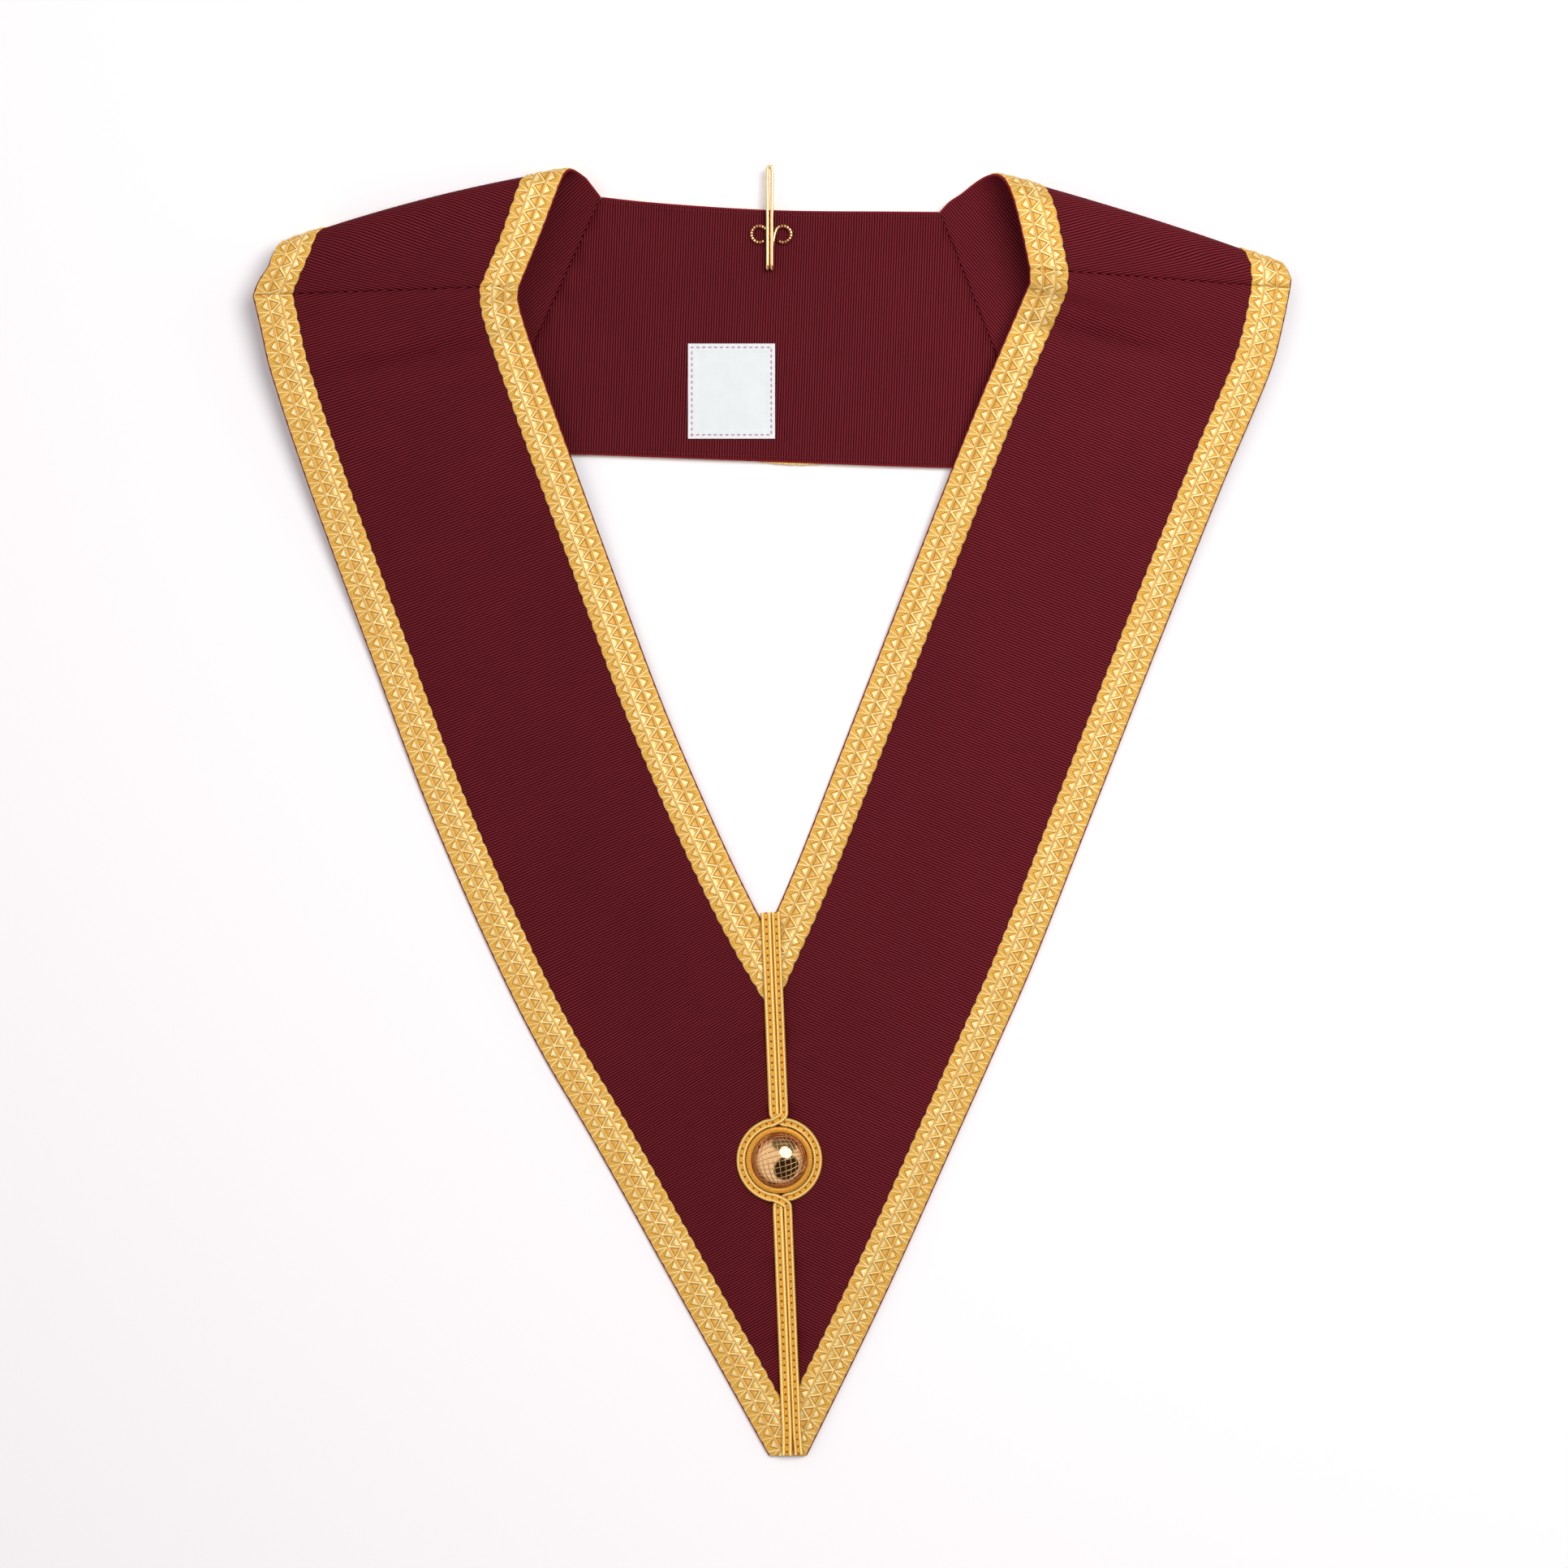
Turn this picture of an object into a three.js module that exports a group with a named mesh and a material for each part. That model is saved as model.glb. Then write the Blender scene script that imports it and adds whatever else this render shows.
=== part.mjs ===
// A ribbon collar that lies flat: a back panel, two shoulders folded over, two front straps mitred at a
// point, gold lace along both edges, a cord braid down the centre with a domed button, a wire hook at the
// back of the neck and a sewn label. Millimetres, +Z up from the table, +Y from the point to the neck.
import * as THREE from "three";

// Driving sizes.
const collarSpan = 410; // across the outer corners at the shoulder seams
const collarDrop = 508; // from the point to the tops of the folds
const ribbonWidth = 102;
const clothWall = 1.2;
const laceWidth = 15;
const laceWall = 1;
const laceInset = 0.7; // cloth that shows past the lace
const loft = 20; // what the heights of the upper layer are shares of
const foldRoll = 8; // what the radii of the folds are shares of
const clearance = 0.3; // between pieces sewn on one another
const seamGap = 0.4; // between lengths of ribbon along a seam
const stepLength = 26; // between rows of the mesh along a strap
const braidWidth = 7.8;
const braidWall = 1.6;
const braidRamp = 4; // the length over which the braid climbs on to the lace
const ringRadius = 17.1;
const ringBraidWidth = 3.9;
const buttonRadius = 11.1;
const buttonRise = 7;
const baseRim = 1.6;
const baseRise = 2.2;
const baseFloor = 0.8;
const hookWire = 1.4;
const hookPitch = 1.75; // between the two wires of the hairpin
const hookReach = 40.5; // from the lower bend to the closed end
const hookEyeRadius = 3.2;
const hookRise = 2.1; // from the lower wires to the upper ones
const labelWidth = 34.5;
const labelDepth = 37.7;
const labelWall = 1;
const edgeRound = 0.5; // on the ring and the button's base

// Heights of the middle of the cloth where it rests on the table, and where lace lies under it.
const restingLevel = clothWall / 2;
const overLaceLevel = laceWall + clearance + clothWall / 2;

// The front straps, from the shoulder seam to the point. x is a share of half the span from the centre
// line, y a share of the drop above the point, both of the outer edge. bearing is the angle of the row
// from there to the inner edge, width a share of the ribbon's, and the rises are shares of the loft.
const frontRows = {
  left: [
    { x: -1.0, y: 0.905, bearing: 2, width: 1.037, riseOuter: 0.62, riseInner: 0.68 },
    { x: -0.985, y: 0.879, bearing: 8, width: 1.01, riseOuter: 0.58, riseInner: 0.64 },
    { x: -0.97, y: 0.851, bearing: 13.5, width: 1.0, riseOuter: 0.53, riseInner: 0.57 },
    { x: -0.895, y: 0.757, bearing: 20, width: 1.0, riseOuter: 0.32, riseInner: 0.36 },
    { x: -0.781, y: 0.63, bearing: 20.8, width: 1.0, riseOuter: 0.07, riseInner: 0.1 },
    { x: -0.664, y: 0.504, bearing: 21.8, width: 1.0, riseOuter: 0.01, riseInner: 0.02 },
    { x: -0.525, y: 0.377, bearing: 25.2, width: 1.0, riseOuter: 0, riseInner: 0 },
    { x: -0.444, y: 0.313, bearing: 29.2, width: 1.0, riseOuter: 0, riseInner: 0 },
    { x: -0.352, y: 0.25, bearing: 31, width: 1.0, riseOuter: 0, riseInner: 0 },
    { x: -0.176, y: 0.123, bearing: 28.4, width: 1.0, riseOuter: 0, riseInner: 0 },
    { x: -0.013, y: 0.005, bearing: 29, width: 1.0, riseOuter: 0, riseInner: 0 },
    { x: 0.033, y: -0.028, bearing: 29, width: 1.0, riseOuter: 0, riseInner: 0 },
  ],
  right: [
    { x: 1.0, y: 0.911, bearing: 3.7, width: 1.02, riseOuter: 0.56, riseInner: 1.0 },
    { x: 0.984, y: 0.879, bearing: 10, width: 1.0, riseOuter: 0.52, riseInner: 0.9 },
    { x: 0.966, y: 0.851, bearing: 17, width: 1.0, riseOuter: 0.47, riseInner: 0.74 },
    { x: 0.87, y: 0.757, bearing: 21.5, width: 1.0, riseOuter: 0.29, riseInner: 0.42 },
    { x: 0.745, y: 0.63, bearing: 21.3, width: 1.0, riseOuter: 0.07, riseInner: 0.12 },
    { x: 0.623, y: 0.504, bearing: 21.8, width: 1.0, riseOuter: 0.01, riseInner: 0.02 },
    { x: 0.499, y: 0.377, bearing: 22.8, width: 1.0, riseOuter: 0, riseInner: 0 },
    { x: 0.429, y: 0.313, bearing: 24.5, width: 1.0, riseOuter: 0, riseInner: 0 },
    { x: 0.359, y: 0.25, bearing: 24.5, width: 1.0, riseOuter: 0, riseInner: 0 },
    { x: 0.217, y: 0.123, bearing: 25.2, width: 1.0, riseOuter: 0, riseInner: 0 },
    { x: 0.074, y: 0.005, bearing: 26.5, width: 1.0, riseOuter: 0, riseInner: 0 },
    { x: 0.033, y: -0.028, bearing: 26.5, width: 1.0, riseOuter: 0, riseInner: 0 },
  ],
};

// The shoulders, from the back seam under the fold to the front seam over it. The ridge is the outermost
// line of the fold: low and top are the heights of the two layers that it joins, roll its radius seen
// from above as a share of the fold roll, and bow how far its middle stands out.
const shoulderRows = {
  left: {
    backSeam: { x: -0.558, y: 0.785, bearing: 65.2, width: 1.09, riseOuter: 0, riseInner: 0.06 },
    under: { x: -0.741, y: 0.862, bearing: 40, width: 1.024, riseOuter: 0, riseInner: 0.06 },
    ridge: {
      x: -0.942,
      y: 0.946,
      bearing: 14.4,
      width: 1.152,
      rollOuter: 1,
      rollInner: 0.5,
      lowOuter: 0,
      lowInner: 0.06,
      topOuter: 0.7,
      topInner: 0.62,
      bow: 0.35,
    },
    over: { x: -0.988, y: 0.916, bearing: 9.5, width: 1.11, riseOuter: 0.68, riseInner: 0.68 },
  },
  right: {
    backSeam: { x: 0.522, y: 0.772, bearing: 68.3, width: 1.072, riseOuter: 0, riseInner: 0.08 },
    under: { x: 0.738, y: 0.848, bearing: 39.6, width: 1.03, riseOuter: 0, riseInner: 0.08 },
    ridge: {
      x: 0.983,
      y: 0.93,
      bearing: 17.1,
      width: 1.163,
      rollOuter: 0.65,
      rollInner: 1.25,
      lowOuter: 0,
      lowInner: 0.08,
      topOuter: 0.56,
      topInner: 1.08,
      bow: 0.18,
    },
    over: { x: 1.001, y: 0.916, bearing: 9.7, width: 1.065, riseOuter: 0.58, riseInner: 1.06 },
  },
};
const rollSlant = 0.7; // how far an edge runs along the ridge for each length that it runs round it
const rollSteps = 8;

// The back panel between the two back seams, in the same columns as the straps.
const backRows = [
  { x: -0.395, y: 0.783, bearing: 72.1, width: 1.03, riseOuter: 0, riseInner: 0.02 },
  { x: -0.005, y: 0.777, bearing: 90, width: 0.98, riseOuter: 0, riseInner: 0 },
  { x: 0.36, y: 0.772, bearing: 104.2, width: 1.03, riseOuter: 0, riseInner: 0.02 },
];

// Soft dents in the straps: where, how long and wide in shares of the ribbon's width, turned by how many
// degrees, and how deep in shares of the loft.
const frontDents = {
  left: [{ x: -0.7, y: 0.853, length: 0.333, width: 0.069, turn: 12, depth: 0.08 }],
  right: [{ x: 0.62, y: 0.872, length: 0.196, width: 0.059, turn: -10, depth: 0.11 }],
};

// The centre seam, from between the neck edges to the point, and the button's place as a share of it.
const seamTop = new THREE.Vector2((-0.005 * collarSpan) / 2, 0.426 * collarDrop);
const seamEnd = new THREE.Vector2((0.038 * collarSpan) / 2, 0);
const buttonShare = 0.457;
const throatShare = 0.7; // how far the braid reaches up between the neck edges, in braid widths

const hookPlace = { x: -0.004, y: 0.927 }; // the lower bend
const labelPlace = { x: -0.078, y: 0.832 }; // the label's middle
// The hook's two eyes: their middles from the lower bend, and the angles between which the wire goes
// round each, in degrees.
const hookEyes = {
  left: { x: -4, y: 14, from: 280, to: 15 },
  right: { x: 5.3, y: 14, from: 165, to: -100 },
};

// A point of the plan given in shares of the span and the drop, at height z.
function place({ x, y }, z) {
  return new THREE.Vector3((x * collarSpan) / 2, y * collarDrop, z);
}

// The two ends of a row. direction is 1 where inner lies towards +X and -1 where it lies towards -X.
function row(entry, direction, level) {
  const angle = THREE.MathUtils.degToRad(entry.bearing);
  const outer = place(entry, level + entry.riseOuter * loft);
  const run = entry.width * ribbonWidth;
  const inner = new THREE.Vector3(
    outer.x + direction * run * Math.cos(angle),
    outer.y + run * Math.sin(angle),
    level + entry.riseInner * loft,
  );
  return { outer, inner, bow: new THREE.Vector3() };
}

// Rows round a fold, from the lower layer to the upper one.
function foldRows(ridge, direction) {
  const angle = THREE.MathUtils.degToRad(ridge.bearing);
  const along = new THREE.Vector3(direction * Math.cos(angle), Math.sin(angle), 0);
  const inwards = new THREE.Vector3(direction * along.y, -direction * along.x, 0);
  const outerEnd = place(ridge, 0);
  const innerEnd = outerEnd.clone().addScaledVector(along, ridge.width * ribbonWidth);
  const end = (corner, roll, low, top, turn) => {
    const radius = roll * foldRoll;
    const lower = overLaceLevel + low * loft;
    const upper = restingLevel + top * loft;
    const rise = (upper - lower) / 2;
    return corner
      .clone()
      .addScaledVector(inwards, radius * (1 - Math.cos(turn)))
      .addScaledVector(along, (-turn * (radius + rise) * rollSlant) / 2)
      .setZ((upper + lower) / 2 + rise * Math.sin(turn));
  };
  return Array.from({ length: rollSteps + 1 }, (_, step) => {
    const turn = (step / rollSteps - 0.5) * Math.PI;
    return {
      outer: end(outerEnd, ridge.rollOuter, ridge.lowOuter, ridge.topOuter, turn),
      inner: end(innerEnd, ridge.rollInner, ridge.lowInner, ridge.topInner, turn),
      bow: inwards.clone().multiplyScalar(-ridge.bow * foldRoll),
    };
  });
}

// A ribbon through rows. u counts the rows, v runs from the outer edge, 0, to the inner edge, 1. facing
// is 1 where the ribbon's outside lies on the side of the cross product of u and v, and -1 otherwise.
function ribbon(rows, facing, dents = []) {
  const curve = (key) =>
    new THREE.CatmullRomCurve3(
      rows.map((entry) => entry[key]),
      false,
      "centripetal",
    );
  const outer = curve("outer");
  const inner = curve("inner");
  const bow = curve("bow");
  const last = rows.length - 1;
  const at = (u, v) => {
    const share = THREE.MathUtils.clamp(u / last, 0, 1);
    const point = outer.getPoint(share).lerp(inner.getPoint(share), v);
    point.addScaledVector(bow.getPoint(share), 4 * v * (1 - v));
    for (const dent of dents) point.z -= dentDepth(dent, point);
    return point;
  };
  const normal = (u, v) => {
    const reach = 0.002; // in rows and in shares of the width
    const alongU = at(Math.min(u + reach, last), v).sub(at(Math.max(u - reach, 0), v));
    const alongV = at(u, v + reach).sub(at(u, v - reach));
    return alongU.cross(alongV).normalize().multiplyScalar(facing);
  };
  return { at, normal, last, facing, rows };
}

function dentDepth(dent, point) {
  const turn = THREE.MathUtils.degToRad(dent.turn);
  const middle = place(dent, 0);
  const dx = point.x - middle.x;
  const dy = point.y - middle.y;
  const along = (dx * Math.cos(turn) + dy * Math.sin(turn)) / (dent.length * ribbonWidth);
  const across = (dy * Math.cos(turn) - dx * Math.sin(turn)) / (dent.width * ribbonWidth);
  return dent.depth * loft * Math.exp(-along * along - across * across);
}

const nearestRows = 0.02; // no two rows of a mesh lie closer than this, in rows of the table

// Places of the rows of a mesh on a ribbon: its own rows and steps between them, from start to end.
function stops(surface, start, end, extra = []) {
  const places = [start, end, ...extra];
  for (let index = 0; index < surface.last; index++) {
    const here = surface.rows[index].outer;
    const next = surface.rows[index + 1].outer;
    const count = Math.max(1, Math.round(here.distanceTo(next) / stepLength));
    for (let step = 0; step < count; step++) places.push(index + step / count);
  }
  const inside = places.filter((u) => u >= start && u <= end).sort((a, b) => a - b);
  const kept = inside.filter((u, index) => index === 0 || u - inside[index - 1] > 1e-9);
  const fixed = new Set([start, end, ...extra]);
  return kept.filter(
    (u) => fixed.has(u) || ![...fixed].some((other) => Math.abs(other - u) < nearestRows),
  );
}

// A closed wall over part of a ribbon, from one distance off its middle to another, both to the outside.
function wall(surface, { places, low, high, across, from, to }) {
  const positions = [];
  const indices = [];
  for (const distance of [from, to])
    for (const u of places)
      for (let column = 0; column <= across; column++) {
        const v = THREE.MathUtils.lerp(low(u), high(u), column / across);
        const point = surface.at(u, v).addScaledVector(surface.normal(u, v), distance);
        positions.push(point.x, point.y, point.z);
      }
  const layer = places.length * (across + 1);
  const near = (i, j) => i * (across + 1) + j;
  const far = (i, j) => layer + near(i, j);
  const face = (a, b, c, d) => {
    if (surface.facing > 0) indices.push(a, b, c, a, c, d);
    else indices.push(a, c, b, a, d, c);
  };
  const end = places.length - 1;
  for (let i = 0; i < end; i++) {
    for (let j = 0; j < across; j++) {
      face(far(i, j), far(i + 1, j), far(i + 1, j + 1), far(i, j + 1));
      face(near(i, j), near(i, j + 1), near(i + 1, j + 1), near(i + 1, j));
    }
    face(near(i, 0), near(i + 1, 0), far(i + 1, 0), far(i, 0));
    face(near(i, across), far(i, across), far(i + 1, across), near(i + 1, across));
  }
  for (let j = 0; j < across; j++) {
    face(near(0, j), far(0, j), far(0, j + 1), near(0, j + 1));
    face(near(end, j), near(end, j + 1), far(end, j + 1), far(end, j));
  }
  const geometry = new THREE.BufferGeometry();
  geometry.setAttribute("position", new THREE.Float32BufferAttribute(positions, 3));
  geometry.setIndex(indices);
  geometry.computeVertexNormals();
  return geometry;
}

const maroonCloth = () =>
  new THREE.MeshStandardMaterial({ color: 0x561019, roughness: 0.75, metalness: 0 });
const goldLace = () =>
  new THREE.MeshStandardMaterial({ color: 0xd9a441, roughness: 0.45, metalness: 0.6 });
const goldMetal = () =>
  new THREE.MeshStandardMaterial({ color: 0xe0b050, roughness: 0.15, metalness: 1 });
const whiteWeave = () =>
  new THREE.MeshStandardMaterial({ color: 0xf4f4f2, roughness: 0.8, metalness: 0 });

const collar = new THREE.Group();

function add(name, geometry, material, position) {
  const mesh = new THREE.Mesh(geometry, material);
  mesh.name = name;
  if (position) mesh.position.copy(position);
  collar.add(mesh);
}

// How far off the middle of the cloth the lace begins and ends, and its shares of the ribbon's width.
const laceFrom = clothWall / 2 + clearance;
const laceTo = laceFrom + laceWall;
const insetShare = laceInset / ribbonWidth;
const laceShare = (laceInset + laceWidth) / ribbonWidth;
const clothAcross = 8;
const laceAcross = 2;
const braidAcross = 2;
const leastShare = 0.012; // the width that is left where a strap runs out at the seam

// Where a value that falls along u reaches zero.
function crossing(value, start, end) {
  let low = start;
  let high = end;
  for (let round = 0; round < 40; round++) {
    const middle = (low + high) / 2;
    if (value(middle) > 0) low = middle;
    else high = middle;
  }
  return low;
}

// u of the place that lies a given distance from one end of a ribbon, along its middle.
function inFromEnd(surface, distance, atStart) {
  const middle = 0.5;
  const step = atStart ? 0.0005 : -0.0005;
  const end = atStart ? 0 : surface.last;
  const edge = surface.at(end, middle);
  let u = end;
  while (surface.at(u, middle).distanceTo(edge) < distance) u += step;
  return u;
}

// Adds one length of ribbon between two seams, with its two laces.
function addLength(surface, names) {
  const start = inFromEnd(surface, seamGap / 2, true);
  const end = inFromEnd(surface, seamGap / 2, false);
  const places = stops(surface, start, end);
  const strip = (low, high, across, from, to) =>
    wall(surface, { places, low: () => low, high: () => high, across, from, to });
  add(names.cloth, strip(0, 1, clothAcross, -clothWall / 2, clothWall / 2), maroonCloth());
  add(names.laceOuter, strip(insetShare, laceShare, laceAcross, laceFrom, laceTo), goldLace());
  add(names.laceNeck, strip(1 - laceShare, 1 - insetShare, laceAcross, laceFrom, laceTo), goldLace());
}

// Adds a front strap, cut along the centre seam and square across the point, with its two laces.
// Returns where the neck edge and the laces' inner sides meet the centre seam, as heights above the point.
function addFront(side, surface, names) {
  const seamLine = seamEnd.clone().sub(seamTop).normalize();
  const away = (point) =>
    side * ((point.x - seamTop.x) * seamLine.y - (point.y - seamTop.y) * seamLine.x);
  const seamShare = (u) => {
    const outer = away(surface.at(u, 0)) - seamGap / 2;
    const inner = away(surface.at(u, 1)) - seamGap / 2;
    return outer / (outer - inner);
  };
  const footShare = (u) => {
    const outer = surface.at(u, 0).y;
    return Math.max(0, outer / (outer - surface.at(u, 1).y));
  };
  const start = inFromEnd(surface, seamGap / 2, true);
  const strip = (lowest, highest, across, from, to) => {
    const low = (u) => Math.max(lowest, footShare(u));
    const high = (u) => Math.min(highest, seamShare(u));
    const end = crossing((u) => high(u) - low(u) - leastShare, start, surface.last);
    const seamMeets = crossing((u) => seamShare(u) - highest, start, surface.last);
    const footMeets = crossing((u) => lowest + 1e-6 - footShare(u), start, surface.last);
    const extra = [seamMeets, footMeets].filter((u) => u < end - nearestRows);
    const places = stops(surface, start, end, extra);
    return wall(surface, { places, low, high, across, from, to });
  };
  add(names.cloth, strip(0, 1, clothAcross, -clothWall / 2, clothWall / 2), maroonCloth());
  add(names.laceOuter, strip(insetShare, laceShare, laceAcross, laceFrom, laceTo), goldLace());
  add(names.laceNeck, strip(1 - laceShare, 1 - insetShare, laceAcross, laceFrom, laceTo), goldLace());
  const meet = (share) => {
    const u = crossing((place) => seamShare(place) - share, start, surface.last);
    return surface.at(u, share).y;
  };
  return { throat: meet(1), throatLace: meet(1 - laceShare), pointLace: meet(laceShare) };
}

// The two sides.
const laceMeets = [];
for (const [side, direction] of [
  ["left", 1],
  ["right", -1],
]) {
  const front = frontRows[side].map((entry) => row(entry, direction, restingLevel));
  const shoulder = shoulderRows[side];
  addLength(
    ribbon(
      [
        row(shoulder.backSeam, direction, overLaceLevel),
        row(shoulder.under, direction, overLaceLevel),
        ...foldRows(shoulder.ridge, direction),
        row(shoulder.over, direction, restingLevel),
        front[0],
      ],
      direction,
    ),
    {
      cloth: `shoulder_${side}`,
      laceOuter: `lace_outer_shoulder_${side}`,
      laceNeck: `lace_neck_shoulder_${side}`,
    },
  );
  laceMeets.push(
    addFront(direction, ribbon(front, direction, frontDents[side]), {
      cloth: `front_${side}`,
      laceOuter: `lace_outer_front_${side}`,
      laceNeck: `lace_neck_front_${side}`,
    }),
  );
}

// The back panel, outside down.
addLength(
  ribbon(
    [
      row(shoulderRows.left.backSeam, 1, overLaceLevel),
      ...backRows.map((entry) => row(entry, 1, overLaceLevel)),
      row(shoulderRows.right.backSeam, -1, overLaceLevel),
    ],
    -1,
  ),
  { cloth: "back_panel", laceOuter: "lace_outer_back", laceNeck: "lace_neck_back" },
);

// The braid down the centre seam from the throat to the point, over the laces at both ends and on the
// cloth between them.
const onCloth = clothWall + clearance;
const onLace = restingLevel + laceTo + clearance;
const seamLength = seamTop.distanceTo(seamEnd);
const along = seamEnd.clone().sub(seamTop).normalize();
const across = new THREE.Vector2(-along.y, along.x);
const buttonDistance = buttonShare * seamLength;
const distanceAt = (height) => (seamTop.y - height) / -along.y;
const braidStart =
  distanceAt(Math.max(...laceMeets.map((meet) => meet.throat))) - throatShare * braidWidth;
const laceEnds = distanceAt(Math.min(...laceMeets.map((meet) => meet.throatLace))) + clearance;
const laceBegins =
  distanceAt(Math.max(...laceMeets.map((meet) => meet.pointLace))) - clearance - braidWidth;

function addBraid(name, levels) {
  const rows = levels.map(({ distance, z }) => {
    const middle = seamTop.clone().addScaledVector(along, distance);
    const left = middle.clone().addScaledVector(across, -braidWidth / 2);
    const right = middle.clone().addScaledVector(across, braidWidth / 2);
    return {
      outer: new THREE.Vector3(left.x, left.y, z),
      inner: new THREE.Vector3(right.x, right.y, z),
      bow: new THREE.Vector3(),
    };
  });
  const surface = ribbon(rows, 1);
  const places = rows.map((_, index) => index);
  const low = () => 0;
  const high = () => 1;
  const size = { places, low, high, across: braidAcross, from: 0, to: braidWall };
  add(name, wall(surface, size), goldLace());
}

addBraid("braid_upper", [
  { distance: braidStart, z: onLace },
  { distance: laceEnds, z: onLace },
  { distance: laceEnds + braidRamp, z: onCloth },
  { distance: buttonDistance - ringRadius - clearance, z: onCloth },
]);
addBraid("braid_lower", [
  { distance: buttonDistance + ringRadius + clearance, z: onCloth },
  { distance: laceBegins - braidRamp, z: onCloth },
  { distance: laceBegins, z: onLace },
  { distance: seamLength, z: onLace },
]);

// The ring of braid, the base and the domed button, turned about the button's middle.
const buttonMiddle = seamTop.clone().addScaledVector(along, buttonDistance);
const turnSegments = 32;
const turned = (profile) =>
  new THREE.LatheGeometry(
    profile.map(([radius, height]) => new THREE.Vector2(radius, height)),
    turnSegments,
  ).rotateX(Math.PI / 2);
const buttonSpot = (z) => new THREE.Vector3(buttonMiddle.x, buttonMiddle.y, z);
const ringInside = ringRadius - ringBraidWidth;

add(
  "braid_ring",
  turned([
    [ringInside, 0],
    [ringRadius, 0],
    [ringRadius, braidWall - edgeRound],
    [ringRadius - edgeRound, braidWall],
    [ringInside + edgeRound, braidWall],
    [ringInside, braidWall - edgeRound],
    [ringInside, 0],
  ]),
  goldLace(),
  buttonSpot(onCloth),
);

const baseHollow = buttonRadius + clearance;
const baseRadius = Math.min(baseHollow + baseRim, ringInside - clearance);
add(
  "button_base",
  turned([
    [0, 0],
    [baseRadius, 0],
    [baseRadius, baseRise - edgeRound],
    [baseHollow + baseRim / 2, baseRise],
    [baseHollow, baseRise - edgeRound],
    [baseHollow, baseFloor],
    [0, baseFloor],
  ]),
  goldLace(),
  buttonSpot(onCloth),
);

const domeRings = 7;
const domeProfile = [[0, 0]];
for (let ring = 0; ring <= domeRings; ring++) {
  const turn = (ring / domeRings) * (Math.PI / 2);
  domeProfile.push([buttonRadius * Math.cos(turn), buttonRise * Math.sin(turn)]);
}
domeProfile[domeProfile.length - 1][0] = 0;
add("button", turned(domeProfile), goldMetal(), buttonSpot(onCloth + baseFloor + clearance));

// The hook: one wire from the left eye down to the lower bend, up to the closed end and back to the right.
const backTop = overLaceLevel + clothWall / 2;
const hookLow = backTop + clearance + hookWire / 2;
const hookHigh = hookLow + hookRise;

const eyeSteps = 10;
const bendSteps = 4;
const wireSteps = 110;
const wireSides = 8;

function eyePoints(eye) {
  return Array.from({ length: eyeSteps + 1 }, (_, step) => {
    const turn = THREE.MathUtils.degToRad(eye.from + ((eye.to - eye.from) * step) / eyeSteps);
    return new THREE.Vector3(
      eye.x + hookEyeRadius * Math.cos(turn),
      eye.y + hookEyeRadius * Math.sin(turn),
      hookLow,
    );
  });
}

function bendPoints(x, rising) {
  const points = Array.from({ length: bendSteps + 1 }, (_, step) => {
    const turn = (step / bendSteps - 0.5) * Math.PI;
    const middle = (hookLow + hookHigh) / 2;
    return new THREE.Vector3(
      x,
      hookRise / 2 - (hookRise / 2) * Math.cos(turn),
      middle + (hookRise / 2) * Math.sin(turn),
    );
  });
  return rising ? points : points.reverse();
}

const wireSide = hookPitch / 2;
const closedEnd = Array.from({ length: bendSteps + 1 }, (_, step) => {
  const turn = Math.PI * (1 - step / bendSteps);
  return new THREE.Vector3(
    wireSide * Math.cos(turn),
    hookReach - wireSide + wireSide * Math.sin(turn),
    hookHigh,
  );
});
const hookPath = new THREE.CatmullRomCurve3(
  [
    ...eyePoints(hookEyes.left),
    new THREE.Vector3(-wireSide, hookEyes.left.y - hookEyeRadius, hookLow),
    new THREE.Vector3(-wireSide, hookEyes.left.y / 2, hookLow),
    ...bendPoints(-wireSide, true),
    new THREE.Vector3(-wireSide, hookReach / 2, hookHigh),
    ...closedEnd,
    new THREE.Vector3(wireSide, hookReach / 2, hookHigh),
    ...bendPoints(wireSide, false),
    new THREE.Vector3(wireSide, hookEyes.right.y / 2, hookLow),
    ...eyePoints(hookEyes.right),
  ],
  false,
  "centripetal",
);
const wireSection = new THREE.Shape();
for (let side = 0; side < wireSides; side++) {
  const turn = (side / wireSides) * 2 * Math.PI;
  const x = (hookWire / 2) * Math.cos(turn);
  const y = (hookWire / 2) * Math.sin(turn);
  if (side === 0) wireSection.moveTo(x, y);
  else wireSection.lineTo(x, y);
}
const wireCourse = { steps: wireSteps, bevelEnabled: false, extrudePath: hookPath };
add(
  "neck_hook",
  new THREE.ExtrudeGeometry(wireSection, wireCourse),
  goldMetal(),
  place(hookPlace, 0),
);

// The label, sewn flat on the inside of the back panel.
add(
  "label",
  new THREE.BoxGeometry(labelWidth, labelDepth, labelWall),
  whiteWeave(),
  place(labelPlace, backTop + clearance + labelWall / 2),
);

// The origin is under the middle of the whole collar, on the table.
const bounds = new THREE.Box3().setFromObject(collar);
const middle = bounds.getCenter(new THREE.Vector3());
collar.position.set(-middle.x, -middle.y, -bounds.min.z);

const part = new THREE.Group();
part.add(collar);

export default part;
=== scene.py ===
import math

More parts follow.
